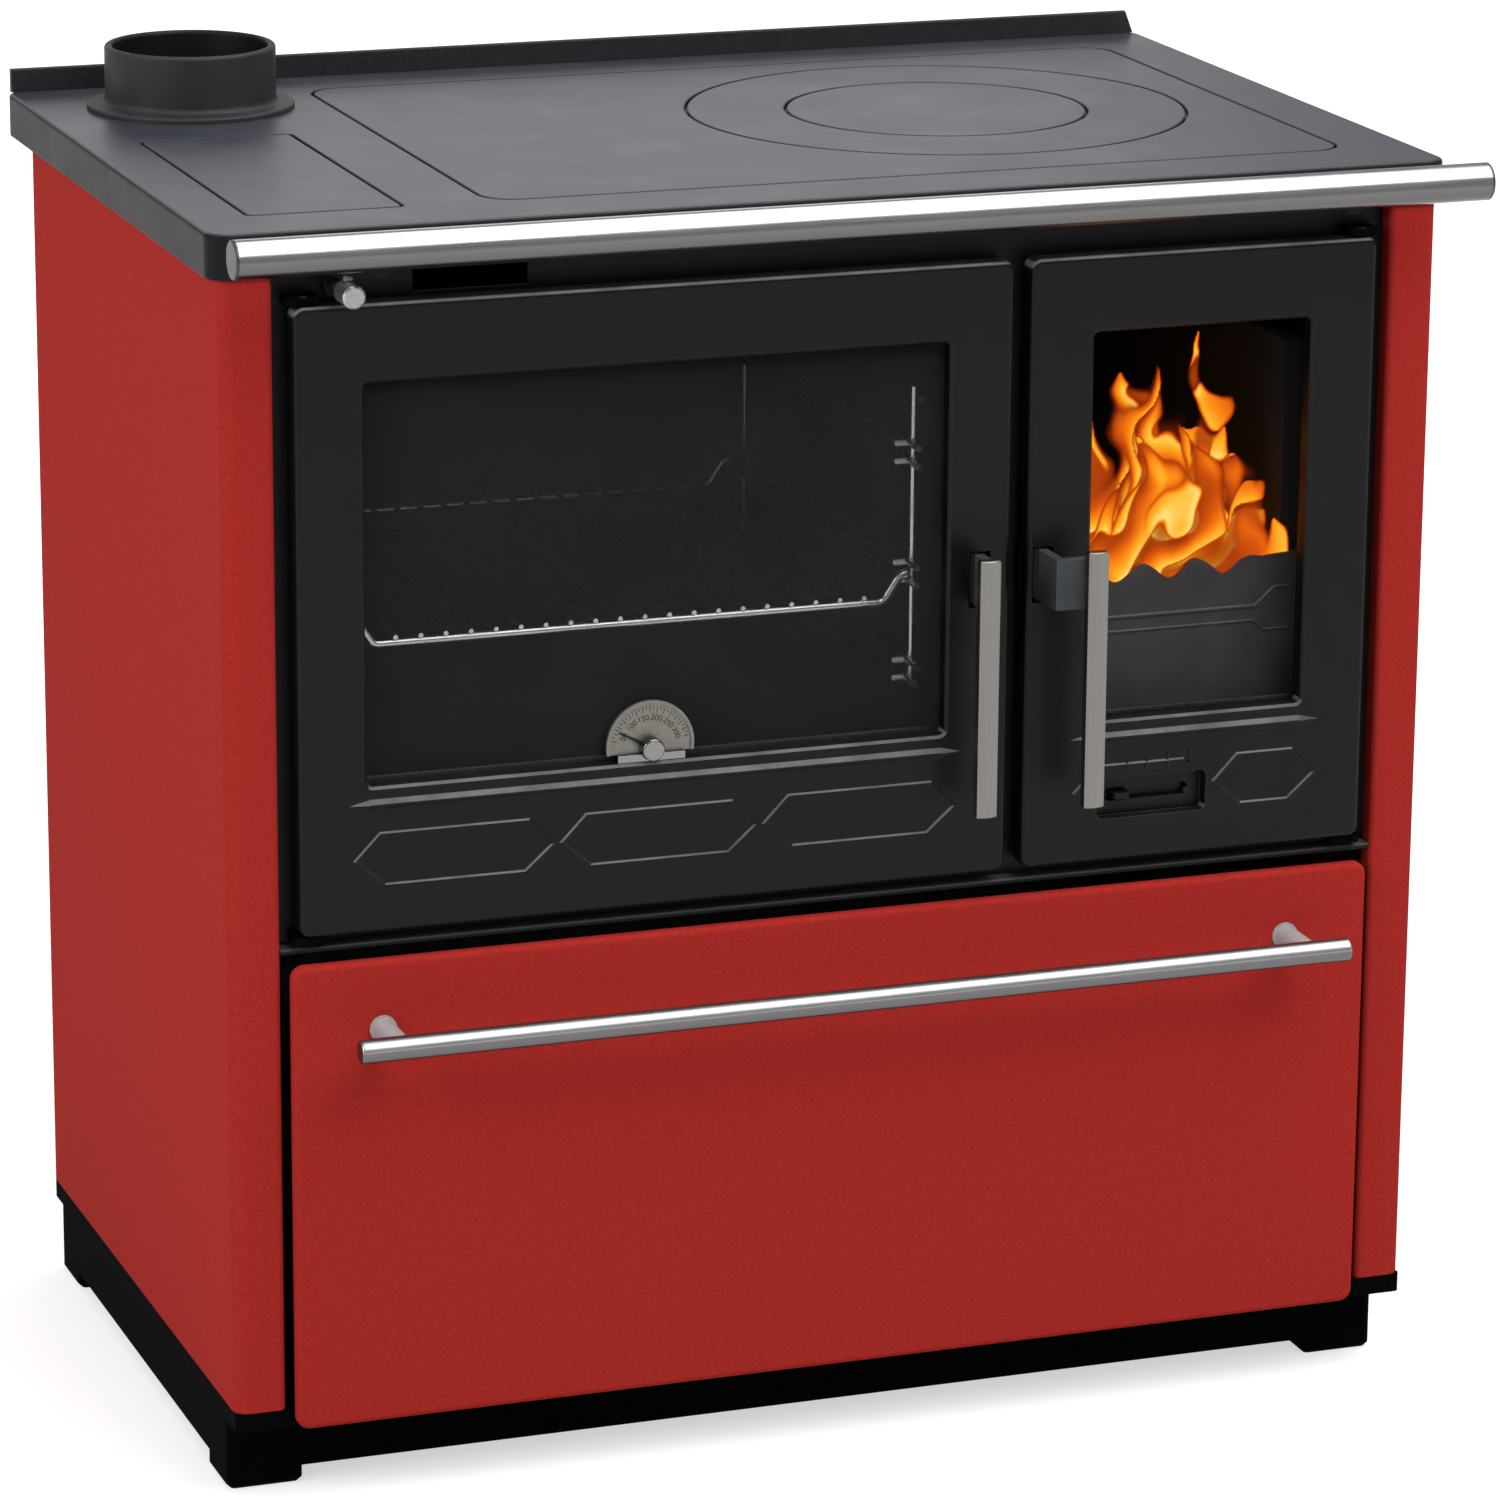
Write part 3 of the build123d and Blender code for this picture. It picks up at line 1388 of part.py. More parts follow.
with BuildPart() as drawer_handle_posts:
    with BuildSketch(facing(drawer_front_y)):
        with Locations(*pull_post_places):
            Circle(pull_post_flange_d / 2)
    extrude(amount=pull_post_flange_t)
    with BuildSketch(facing(drawer_front_y)):
        with Locations(*pull_post_places):
            Circle(pull_post_d / 2)
    extrude(amount=drawer_front_y - pull_bar_y)
    with BuildSketch(across(-pull_bar_length / 2)):
        with Locations((pull_bar_y, pull_bar_z)):
            Circle(pull_bar_d / 2)
    extrude(amount=pull_bar_length, mode=Mode.SUBTRACT)

pieces = {
    "base_plinth": base_plinth.part,
    "plinth_feet": plinth_feet.part,
    "base_tray": base_tray.part,
    "left_side_panel": left_side_panel.part,
    "right_side_panel": right_side_panel.part,
    "back_panel": back_panel.part,
    "back_panel_screws": back_panel_screws.part,
    "front_frame": front_frame.part,
    "latch_strikes": latch_strikes.part,
    "hob_frame": hob_frame.part,
    "rear_upstand": rear_upstand.part,
    "hotplate": hotplate.part,
    "outer_ring": outer_ring.part,
    "lid_disc": lid_disc.part,
    "cleaning_cover": cleaning_cover.part,
    "flue_collar": flue_collar.part,
    "hand_rail": hand_rail.part,
    "rail_end_caps": rail_end_caps.part,
    "rail_brackets": rail_brackets.part,
    "oven_box": oven_box.part,
    "oven_runner_left": oven_runner_left,
    "oven_runner_right": oven_runner_right,
    "oven_rack": oven_rack.part,
    "firebox_shell": firebox_shell.part,
    "fire_grate": fire_grate.part,
    "firebricks": firebricks.part,
    "log_guard": log_guard.part,
    "ash_pan": ash_pan.part,
    "oven_door": oven_door.part,
    "oven_glass": oven_glass,
    "oven_glass_retainers": oven_glass_retainers,
    "oven_door_seal": oven_door_seal,
    "fire_door": fire_door.part,
    "fire_glass": fire_glass,
    "fire_glass_retainers": fire_glass_retainers,
    "fire_door_seal": fire_door_seal,
    "hinge_brackets": hinge_brackets.part,
    "hinge_pins": hinge_pins.part,
    "oven_latch_lever": oven_latch_lever,
    "oven_latch_pin": oven_latch_pin,
    "oven_grip": oven_grip,
    "fire_latch_lever": fire_latch_lever,
    "fire_latch_pin": fire_latch_pin,
    "fire_grip": fire_grip,
    "air_slider": air_slider.part,
    "slider_guides": slider_guides.part,
    "thermometer_dial": thermometer_dial.part,
    "thermometer_bracket": thermometer_bracket.part,
    "thermometer_needle": thermometer_needle.part,
    "thermometer_hub": thermometer_hub.part,
    "damper_rod": damper_rod.part,
    "damper_knob": damper_knob.part,
    "damper_bush": damper_bush.part,
    "damper_plate": damper_plate.part,
    "flue_divider": flue_divider.part,
    "drawer_front": drawer_front.part,
    "drawer_box": drawer_box.part,
    "drawer_runners": drawer_runners.part,
    "drawer_handle_bar": drawer_handle_bar.part,
    "drawer_handle_posts": drawer_handle_posts.part,
}
os.makedirs("parts", exist_ok=True)
for name, piece in pieces.items():
    piece.label = name
    export_step(piece, f"parts/{name}.step")
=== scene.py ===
"""Wood-fired kitchen range in red enamel and black cast iron, seen from its left front."""
import json
import math

import bmesh
import bpy
from mathutils import Matrix, Vector, noise


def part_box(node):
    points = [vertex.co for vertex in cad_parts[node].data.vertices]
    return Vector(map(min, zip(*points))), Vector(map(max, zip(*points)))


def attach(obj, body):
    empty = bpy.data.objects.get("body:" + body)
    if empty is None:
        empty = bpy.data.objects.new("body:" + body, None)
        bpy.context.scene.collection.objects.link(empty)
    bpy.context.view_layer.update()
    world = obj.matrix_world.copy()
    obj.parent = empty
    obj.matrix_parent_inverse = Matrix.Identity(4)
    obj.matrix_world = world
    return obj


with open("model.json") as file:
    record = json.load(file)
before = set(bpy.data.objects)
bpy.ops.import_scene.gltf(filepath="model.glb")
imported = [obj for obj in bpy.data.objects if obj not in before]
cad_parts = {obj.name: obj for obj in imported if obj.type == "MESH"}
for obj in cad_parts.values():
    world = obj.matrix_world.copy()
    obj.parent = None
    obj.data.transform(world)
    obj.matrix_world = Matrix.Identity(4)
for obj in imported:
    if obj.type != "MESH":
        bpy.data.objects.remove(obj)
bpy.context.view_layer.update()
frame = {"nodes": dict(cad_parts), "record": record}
nodes = frame["nodes"]

MM = 0.001


def box_mm(node):
    """A CAD node's lowest and highest corners, in millimetres."""
    return [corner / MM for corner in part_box(node)]


def middle(node):
    """The middle of a CAD node's box, in millimetres."""
    low, high = box_mm(node)
    return (low + high) / 2


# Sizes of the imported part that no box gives, in millimetres
DOOR_THICKNESS = 15.0
DIAL_SHEET = 1.2
HOB_SKIRT = 8.0
RUNNER_UPRIGHT_INSET = 20.0
RUNNER_STEPS = (5.0, 72.0, 153.0)
RUNNER_PAIR = 12.2

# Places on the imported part, in millimetres
slider_low, slider_high = box_mm("air_slider")
hob_low, hob_high = box_mm("hob_frame")
runner_low = box_mm("oven_runner_left")[0]
knob_high = box_mm("damper_knob")[1]
door_face = box_mm("fire_door")[1].y - DOOR_THICKNESS
dial_face_y = box_mm("thermometer_dial")[1].y - DIAL_SHEET
guard_face = box_mm("log_guard")[0].y
oven_walls = (runner_low.x, box_mm("oven_runner_right")[1].x)
dial_hub = middle("thermometer_hub")
collar_axis = middle("flue_collar")

# Sizes of the finishes, in millimetres
COLLAR_SOOT_RADIUS = 57.0
WIRE_BROWNING = (-176.0, 190.0)

# Sizes of the small pieces made here, in millimetres and degrees, with a bead's profile in shares of its size
BEAD_PROFILE = ((-0.5, 0.0), (-0.22, 1.0), (0.22, 1.0), (0.5, 0.0))
BEAD_MITRE = 0.3
TICKS = ((28.0, 8.0), (42.0, 9.5), (57.0, 11.0), (73.0, 13.0))
TICK_LIFT = 6.0
TICK_WIDTH = 1.8
TICK_RISE = 0.9
CLOSING_SHEET = 1.5
CLOSING_GAP = 0.5
CLOSING_LIFT = 0.3
CLOSING_LIP = 12.7
CLOSING_INNER_BEND = 0.6
CLOSING_INSET = 15.0
GUARD_LINES = (
    (3.0, 1.2, ((160.0, 545.0), (309.5, 545.0), (323.0, 557.0), (334.0, 557.0))),
    (2.2, 0.9, ((160.0, 535.0), (308.0, 535.0), (316.0, 528.0), (334.0, 528.0))),
)
STUB_START = 7.0
STUB_LENGTH = 12.4
STUB_RADIUS = 2.0
STUB_TIP = 0.8
STUB_TIP_RADIUS = 1.1
DIAL_HALF_TICKS = 14
DIAL_TICK_TURN = 5.5
DIAL_TICK_OUTER = 27.2
DIAL_TICK_LONG = 23.6
DIAL_TICK_SHORT = 25.2
DIAL_TICK_WIDTH = 0.5
DIAL_TICK_RISE = 0.06
NUMBER_FIRST_TURN = -66.0
NUMBER_TURN = 26.4
NUMBER_RADIUS = 19.6
NUMBER_SIZE = 5.4
NUMBER_RISE = 0.03
SCREW_FROM_REAR = 4.5
SCREW_LIFT = 2.0
SCREW_HEAD_RADIUS = 3.6
SCREW_HEAD = 2.6
SCREW_BEVEL = 0.7
SCREW_RADIUS = 2.0
SCREW_LENGTH = 6.0
FLAME_LEFT = 178.0
FLAME_FOOT = 552.0
FLAME_STEP = 1.25
FLAME_COLUMNS = 136
FLAME_ROWS = 146
FLAME_BOW = 3.0

# Floor and camera, in metres, with the lens in millimetres and the turns in degrees
FLOOR_RADIUS = 30.0
CAMERA_PLACE = (-1.458, -4.089, 1.647)
CAMERA_TURNS = (19.87, 15.80, 0.43)
CAMERA_SENSOR = 36.0
CAMERA_LENS = 156.72


# Small tools for materials

def linear(hex_colour):
    """sRGB hex colour as linear RGBA."""
    values = [int(hex_colour[i:i + 2], 16) / 255 for i in (1, 3, 5)]
    return [v / 12.92 if v <= 0.04045 else ((v + 0.055) / 1.055) ** 2.4 for v in values] + [1.0]


def per_mm(size):
    """Pattern scale at which one feature is this many millimetres."""
    return 1000.0 / size


def add(tree, kind, sockets=None, stops=(), **settings):
    """Adds a shader node; a socket takes a value or another node's output, a ramp takes its stops."""
    node = tree.nodes.new("ShaderNode" + kind)
    for key, value in settings.items():
        setattr(node, key, value)
    for index, (place, colour) in enumerate(stops):
        elements = node.color_ramp.elements
        element = elements[index] if index < len(elements) else elements.new(place)
        element.position = place
        element.color = linear(colour)
    for key, value in (sockets or {}).items():
        if isinstance(value, bpy.types.NodeSocket):
            tree.links.new(value, node.inputs[key])
        else:
            node.inputs[key].default_value = value
    return node


def material(name):
    """An empty node material; returns it with its tree."""
    made = bpy.data.materials.new(name)
    made.use_nodes = True
    made.node_tree.nodes.clear()
    return made, made.node_tree


def surface(tree, sockets):
    """Ends a material's tree in the main shader with these sockets."""
    shader = add(tree, "BsdfPrincipled", sockets)
    add(tree, "OutputMaterial", {"Surface": shader.outputs["BSDF"]})


def cloudy(tree, place, size, detail, rough=0.5):
    """Noise with features this many millimetres wide."""
    return add(tree, "TexNoise", {"Vector": place, "Scale": per_mm(size), "Detail": detail,
                                  "Roughness": rough}).outputs["Fac"]


def streaks(tree, place, run):
    """Noise drawn out along the axes, with features this many millimetres wide on each."""
    drawn = add(tree, "Mapping", {"Vector": place, "Scale": [per_mm(size) for size in run]}).outputs["Vector"]
    return add(tree, "TexNoise", {"Vector": drawn, "Scale": 1.0, "Detail": 3.0}).outputs["Fac"]


def ramp(tree, share, *stops):
    """Colour at this share of the way along the stops."""
    return add(tree, "ValToRGB", {"Fac": share}, stops=stops).outputs["Color"]


def mixed(tree, share, colour, other):
    """A colour that goes over into the other one by this share."""
    return add(tree, "Mix", {0: share, 6: colour, 7: other}, data_type="RGBA").outputs[2]


def mapped(tree, value, start, end, low=0.0, high=1.0, **settings):
    """A value between start and end brought to between low and high."""
    return add(tree, "MapRange", {"Value": value, "From Min": start, "From Max": end, "To Min": low,
                                  "To Max": high}, **settings).outputs["Result"]


def maths(tree, operation, one, other):
    """Two values put together by an operation."""
    return add(tree, "Math", {0: one, 1: other}, operation=operation).outputs["Value"]


def turned_up(tree):
    """How far a face is turned up: 1 when level, nought when upright, below nought underneath."""
    normal = add(tree, "NewGeometry").outputs["Normal"]
    return add(tree, "SeparateXYZ", {"Vector": normal}).outputs["Z"]


def rounded(tree, radius, samples=4):
    """Normal of the surface with its edges rounded by this many millimetres."""
    return add(tree, "Bevel", {"Radius": radius * MM}, samples=samples).outputs["Normal"]


def bumped(tree, height, strength, depth, normal=None):
    """Normal under a relief this many millimetres deep, over another normal where one is given."""
    sockets = {"Height": height, "Strength": strength, "Distance": depth * MM}
    if normal is not None:
        sockets["Normal"] = normal
    return add(tree, "Bump", sockets).outputs["Normal"]


# Materials

def red_powder_enamel():
    """Red enamel baked on sheet steel: a satin skin with a fine orange peel and faint mottling."""
    made, tree = material("red_powder_enamel")
    place = add(tree, "TexCoord").outputs["Object"]
    mottle = cloudy(tree, place, 2.6, 4.0, 0.7)
    peel = cloudy(tree, place, 1.5, 2.0)
    surface(tree, {
        "Base Color": ramp(tree, mottle, (0.3, "#982722"), (0.5, "#A12B26"), (0.72, "#AB322C")),
        "Roughness": 0.6,
        "Specular IOR Level": 0.006,
        "Normal": bumped(tree, peel, 0.25, 0.12, rounded(tree, 1.2)),
    })
    return made


def cast_iron(name, tones, edge_wear_and_highlight, painted_highlight_colour, rough, level, grain, relief, bore=None):
    """Sand-cast iron: a grainy skin of small pits, cloudy in tone, with edges lighter as rubbed wear and
    painted highlight.

    Slopes turned up and left are lightened as a painted highlight. A bore, given as x, y and radius in
    millimetres, is soot-black inside.
    """
    made, tree = material(name)
    place = add(tree, "TexCoord").outputs["Object"]
    cloud = cloudy(tree, place, 34.0, 5.0, 0.62)
    sand = cloudy(tree, place, grain, 3.0, 0.65)
    edge = rounded(tree, 0.8, samples=6)
    flat = add(tree, "NewGeometry").outputs["Normal"]
    bend = add(tree, "VectorMath", {0: edge, 1: flat}, operation="DOT_PRODUCT").outputs["Value"]
    patchy = mapped(tree, cloud, 0.3, 0.6, 0.45, 1.0)
    # Edges lighten by rubbed wear that doubles as a painted edge highlight
    edge_wear_and_highlight_share = maths(tree, "MULTIPLY", mapped(tree, bend, 0.99, 0.86), patchy)
    colour = mixed(tree, edge_wear_and_highlight_share, ramp(tree, cloud, *zip((0.3, 0.52, 0.75), tones)), linear(edge_wear_and_highlight))
    # Painted highlight: slopes turned up and to the left are lightened as if lit from there
    facing_painted_light = add(tree, "VectorMath", {0: flat, 1: (-0.3, 0.0, 0.95)}, operation="DOT_PRODUCT").outputs["Value"]
    painted_highlight = ramp(tree, facing_painted_light, (0.34, "#000000"), (0.56, "#FFFFFF"), (0.78, "#FFFFFF"), (0.94, "#4A4A4A"))
    colour = mixed(tree, maths(tree, "MULTIPLY", painted_highlight, patchy), colour, linear(painted_highlight_colour))
    if bore:
        across = add(tree, "Mapping", {"Vector": place, "Location": (-bore[0] * MM, -bore[1] * MM, 0.0),
                                       "Scale": (1.0, 1.0, 0.0)}).outputs["Vector"]
        reach = add(tree, "VectorMath", {0: across}, operation="LENGTH").outputs["Value"]
        colour = mixed(tree, maths(tree, "LESS_THAN", reach, bore[2] * MM), colour, linear("#060606"))
    surface(tree, {
        "Base Color": colour,
        "Roughness": mapped(tree, sand, 0.3, 0.7, rough - 0.06, rough + 0.06),
        "Specular IOR Level": level,
        "Normal": bumped(tree, sand, 0.35, relief, edge),
    })
    return made


def ground_hob_iron():
    """Hob of cast iron, ground and blacked on top, left matt at its edge: grey sheen, long grinding marks."""
    made, tree = material("ground_hob_iron")
    place = add(tree, "TexCoord").outputs["Object"]
    blotch = cloudy(tree, place, 60.0, 6.0, 0.6)
    pits = cloudy(tree, place, 1.4, 3.0, 0.7)
    relief = maths(tree, "ADD", streaks(tree, place, (40.0, 0.9, 0.9)), pits)
    ground = mapped(tree, turned_up(tree), 0.6, 0.95)
    top = ramp(tree, blotch, (0.3, "#24262E"), (0.55, "#292B34"), (0.8, "#31333D"))
    surface(tree, {
        "Base Color": mixed(tree, ground, linear("#1C1C1E"), top),
        "Roughness": mapped(tree, blotch, 0.3, 0.7, 0.38, 0.46),
        "Specular IOR Level": mapped(tree, ground, 0.0, 1.0, 0.05, 0.42),
        "Normal": bumped(tree, relief, 0.2, 0.06, rounded(tree, 2.0)),
    })
    return made


def steel(name, dark, light, rough, run, relief, painted_underside_shade=None):
    """Drawn or polished steel: bare metal with fine lines along its length.

    A painted shade, given as a colour, darkens what is turned down.
    """
    made, tree = material(name)
    place = add(tree, "TexCoord").outputs["Object"]
    grain = streaks(tree, place, run)
    tone = ramp(tree, grain, (0.25, dark), (0.7, light))
    # Painted shade: what is turned down darkens towards this colour
    if painted_underside_shade:
        tone = mixed(tree, mapped(tree, turned_up(tree), 0.18, 0.06), tone, linear(painted_underside_shade))
    surface(tree, {
        "Base Color": tone,
        "Metallic": 1.0,
        "Roughness": mapped(tree, grain, 0.3, 0.7, rough - 0.04, rough + 0.05),
        "Normal": bumped(tree, grain, 0.15, relief, rounded(tree, 0.5)),
    })
    return made


def heat_browned_wire():
    """Chromed oven wire: bright at its front and back ends, browned by heat over the middle of the oven."""
    made, tree = material("heat_browned_wire")
    place = add(tree, "TexCoord").outputs["Object"]
    depth = add(tree, "SeparateXYZ", {"Vector": place}).outputs["Y"]
    heat = mapped(tree, depth, *(y * MM for y in WIRE_BROWNING))
    stain = cloudy(tree, place, 22.0, 4.0)
    surface(tree, {
        "Base Color": ramp(tree, heat, (0.0, "#D6D4D0"), (0.08, "#BAB7B2"), (0.36, "#5E5A54"),
                           (0.88, "#3E3A36"), (0.97, "#C4C0BA")),
        "Metallic": 1.0,
        "Roughness": mapped(tree, stain, 0.3, 0.7, 0.18, 0.36),
    })
    return made


def galvanised_sheet():
    """Zinc-coated sheet steel: a pattern of pale and darker spangles, each a crystal about 9 mm wide."""
    made, tree = material("galvanised_sheet")
    place = add(tree, "TexCoord").outputs["Object"]
    spangle = add(tree, "TexVoronoi", {"Vector": place, "Scale": per_mm(9.0), "Randomness": 1.0})
    tone = add(tree, "SeparateColor", {"Color": spangle.outputs["Color"]})
    surface(tree, {
        "Base Color": ramp(tree, tone.outputs["Red"], (0.0, "#9A9D9F"), (1.0, "#ACAFB1")),
        "Metallic": 1.0,
        "Roughness": mapped(tree, tone.outputs["Green"], 0.0, 1.0, 0.42, 0.52),
    })
    return made


def vitreous_oven_enamel():
    """Black vitreous enamel fired on the oven liner: dulled and a little wavy, with a bloom of use."""
    made, tree = material("vitreous_oven_enamel")
    place = add(tree, "TexCoord").outputs["Object"]
    bloom = cloudy(tree, place, 90.0, 4.0)
    wave = cloudy(tree, place, 45.0, 1.0)
    surface(tree, {
        "Base Color": ramp(tree, bloom, (0.3, "#0E0E0E"), (0.7, "#1A1918")),
        "Roughness": 0.6,
        "Specular IOR Level": 0.02,
        "Normal": bumped(tree, wave, 0.15, 1.0),
    })
    return made


def sooted_steel():
    """Mild steel sheet under soot from the smoke: velvet black, browner and barer in flaked patches."""
    made, tree = material("sooted_flue_steel")
    place = add(tree, "TexCoord").outputs["Object"]
    flake = cloudy(tree, place, 18.0, 6.0, 0.65)
    surface(tree, {
        "Base Color": ramp(tree, flake, (0.45, "#060606"), (0.6, "#0D0B0A"), (0.75, "#191614")),
        "Roughness": 0.95,
        "Specular IOR Level": 0.05,
        "Normal": bumped(tree, flake, 0.3, 0.3),
    })
    return made


def heat_glass_pane(name, tone, low, high):
    """Ceramic heat glass: a pane with a faint veil of its tone, clear to look into, that shines at a low
    angle. A pale tone is a painted reflection over the smoke tint.
    """
    made, tree = material(name)
    place = add(tree, "TexCoord").outputs["Object"]
    haze = cloudy(tree, place, 70.0, 4.0)
    turned = add(tree, "LayerWeight", {"Blend": 0.5}).outputs["Facing"]
    # A pale tone is a painted reflection laid over the smoke tint
    surface(tree, {
        "Base Color": linear(tone),
        "Roughness": 0.05,
        "Specular IOR Level": mapped(tree, turned, 0.3, 0.9, 0.0, 0.5),
        "Alpha": mapped(tree, haze, 0.3, 0.7, low, high),
    })
    return made


def vermiculite_brick():
    """Pressed vermiculite firebrick in use: flaky board with small pits, darkened by soot in clouds."""
    made, tree = material("vermiculite_brick")
    place = add(tree, "TexCoord").outputs["Object"]
    flakes = add(tree, "TexVoronoi", {"Vector": place, "Scale": per_mm(3.5)}).outputs["Distance"]
    soot = cloudy(tree, place, 80.0, 6.0)
    buff = ramp(tree, flakes, (0.0, "#2A221B"), (0.8, "#1A1510"))
    surface(tree, {
        "Base Color": mixed(tree, soot, buff, linear("#080706")),
        "Roughness": 0.95,
        "Normal": bumped(tree, flakes, 0.3, 0.3),
    })
    return made


def woven_seal_rope():
    """Woven glass-fibre rope: dark grey yarns crossing about every 2.5 mm."""
    made, tree = material("woven_seal_rope")
    place = add(tree, "TexCoord").outputs["Object"]
    yarn = {"Vector": place, "Scale": per_mm(2.5) / math.tau, "Distortion": 1.5}
    yarns = [add(tree, "TexWave", yarn, bands_direction=way).outputs["Fac"] for way in ("DIAGONAL", "Z")]
    weave = maths(tree, "MULTIPLY", *yarns)
    surface(tree, {
        "Base Color": ramp(tree, weave, (0.0, "#2A2A2A"), (1.0, "#5C5B58")),
        "Roughness": 0.9,
        "Normal": bumped(tree, weave, 0.8, 0.5),
    })
    return made


def printed_dial():
    """Thin stamped dial: matt warm-grey lacquer, slightly worn."""
    made, tree = material("printed_dial")
    place = add(tree, "TexCoord").outputs["Object"]
    wear = cloudy(tree, place, 5.0, 5.0, 0.7)
    surface(tree, {
        "Base Color": ramp(tree, wear, (0.3, "#68655F"), (0.7, "#7B7871")),
        "Roughness": 0.38,
        "Metallic": 0.5,
    })
    return made


def dull_paint(name, low, high, rough, level, painted_highlight=None):
    """Flat lacquer with the slight unevenness of a sprayed coat.

    A painted highlight, given as a colour, lightens what is turned up.
    """
    made, tree = material(name)
    place = add(tree, "TexCoord").outputs["Object"]
    coat = cloudy(tree, place, 4.0, 3.0)
    colour = ramp(tree, coat, (0.3, low), (0.7, high))
    # Painted highlight: what is turned up lightens towards this colour
    if painted_highlight:
        colour = mixed(tree, mapped(tree, turned_up(tree), 0.1, 0.6), colour, linear(painted_highlight))
    surface(tree, {
        "Base Color": colour,
        "Roughness": rough,
        "Specular IOR Level": level,
        "Normal": bumped(tree, coat, 0.1, 0.1, rounded(tree, 0.9)),
    })
    return made


def burning_gas():
    """Wood flame: glowing gas, pale yellow where hottest, orange to dull red at its torn edges."""
    made, tree = material("wood_flame")
    heat = add(tree, "Attribute", attribute_name="flame_warmth").outputs["Fac"]
    surface(tree, {
        "Base Color": linear("#000000"),
        "Roughness": 1.0,
        "Specular IOR Level": 0.0,
        "Emission Color": ramp(tree, heat, (0.0, "#4A1003"), (0.2, "#8A2A06"), (0.42, "#D8580C"),
                               (0.64, "#F98A16"), (0.82, "#FFB42C"), (1.0, "#FFE884")),
        "Emission Strength": 1.45,
        "Alpha": mapped(tree, heat, 0.0, 0.34, interpolation_type="SMOOTHSTEP"),
    })
    return made


red_enamel = red_powder_enamel()
# Each cast iron: tones, edge colour for wear and painted highlight, colour of the painted highlight on
# slopes, roughness, level, grain and relief
door_iron = cast_iron("satin_black_door_iron", ("#060606", "#080808", "#0B0B0B"), "#3E3E40", "#646467",
                      0.4, 0.155, 1.6, 0.08)
collar_iron = cast_iron("raw_flue_collar_iron", ("#222224", "#282829", "#303032"), "#4A4A4C", "#303032",
                        0.55, 0.2, 2.2, 0.3, bore=(collar_axis.x, collar_axis.y, COLLAR_SOOT_RADIUS))
guard_iron = cast_iron("heat_greyed_guard_iron", ("#524E4F", "#585455", "#5F5B5C"), "#6E6A6B", "#8A8687",
                       0.7, 0.02, 6.0, 0.05)
lever_iron = cast_iron("grey_cast_lever_iron", ("#34373A", "#3A3D40", "#414447"), "#5C5E60", "#5C5E60",
                       0.5, 0.15, 1.6, 0.08)
hob_iron = ground_hob_iron()
black_sheet = dull_paint("matt_black_heat_paint", "#050506", "#090A0B", 0.8, 0.01)
# The frame paint is lightened on what is turned up as a painted highlight
frame_black = dull_paint("satin_black_frame_paint", "#0A0A0A", "#0F0E0E", 0.45, 0.13, painted_highlight="#4C4B49")
grey_paint = dull_paint("dark_grey_heat_paint", "#1E1E21", "#26262A", 0.5, 0.15)
post_lacquer = dull_paint("silver_lacquered_zinc_post", "#9A9899", "#A8A6A7", 0.35, 0.4)
polished_steel = steel("polished_stainless_fitting", "#716F6D", "#7A7876", 0.18, (60.0, 0.6, 0.6), 0.01)
# This rail, and the pull below, are darkened underneath as painted shade
rail_tube = steel("polished_stainless_rail", "#9A9999", "#A4A3A3", 0.21, (60.0, 0.6, 0.6), 0.01,
                  painted_underside_shade="#626160")
rail_cap = steel("satin_steel_end_cap", "#444342", "#4E4D4C", 0.4, (3.0, 3.0, 3.0), 0.03)
pull_steel = steel("satin_stainless_pull", "#9F9E9F", "#A9A8A9", 0.3, (60.0, 0.6, 0.6), 0.01, painted_underside_shade="#676567")
grip_steel = steel("brushed_stainless_grip", "#6F6C68", "#7C7975", 0.34, (0.5, 0.5, 45.0), 0.03)
plain_steel = steel("dark_mild_steel", "#555452", "#6A6967", 0.45, (3.0, 3.0, 3.0), 0.05)
knob_zinc = steel("cast_zinc_knob", "#8E8C8A", "#A6A4A2", 0.42, (2.5, 2.5, 2.5), 0.06)
wire_steel = heat_browned_wire()
wire_end = steel("zinc_plated_wire_end", "#E6E4E0", "#F2F0EC", 0.72, (3.0, 1.0, 1.0), 0.02)
zinc_sheet = galvanised_sheet()
oven_enamel = vitreous_oven_enamel()
# The oven glass's pale grey tone is a painted reflection
heat_glass = heat_glass_pane("smoked_oven_glass_painted_reflection", "#3B3B3C", 0.2, 0.26)
fire_glass = heat_glass_pane("clear_fire_glass", "#0C0C0B", 0.12, 0.16)
flue_soot = sooted_steel()
firebrick = vermiculite_brick()
seal_rope = woven_seal_rope()
dial_face = printed_dial()
needle_paint = dull_paint("black_needle_paint", "#0E0E0E", "#161616", 0.4, 0.25)
print_black = dull_paint("black_dial_print", "#151515", "#1E1E1E", 0.5, 0.25)
wood_flame = burning_gas()

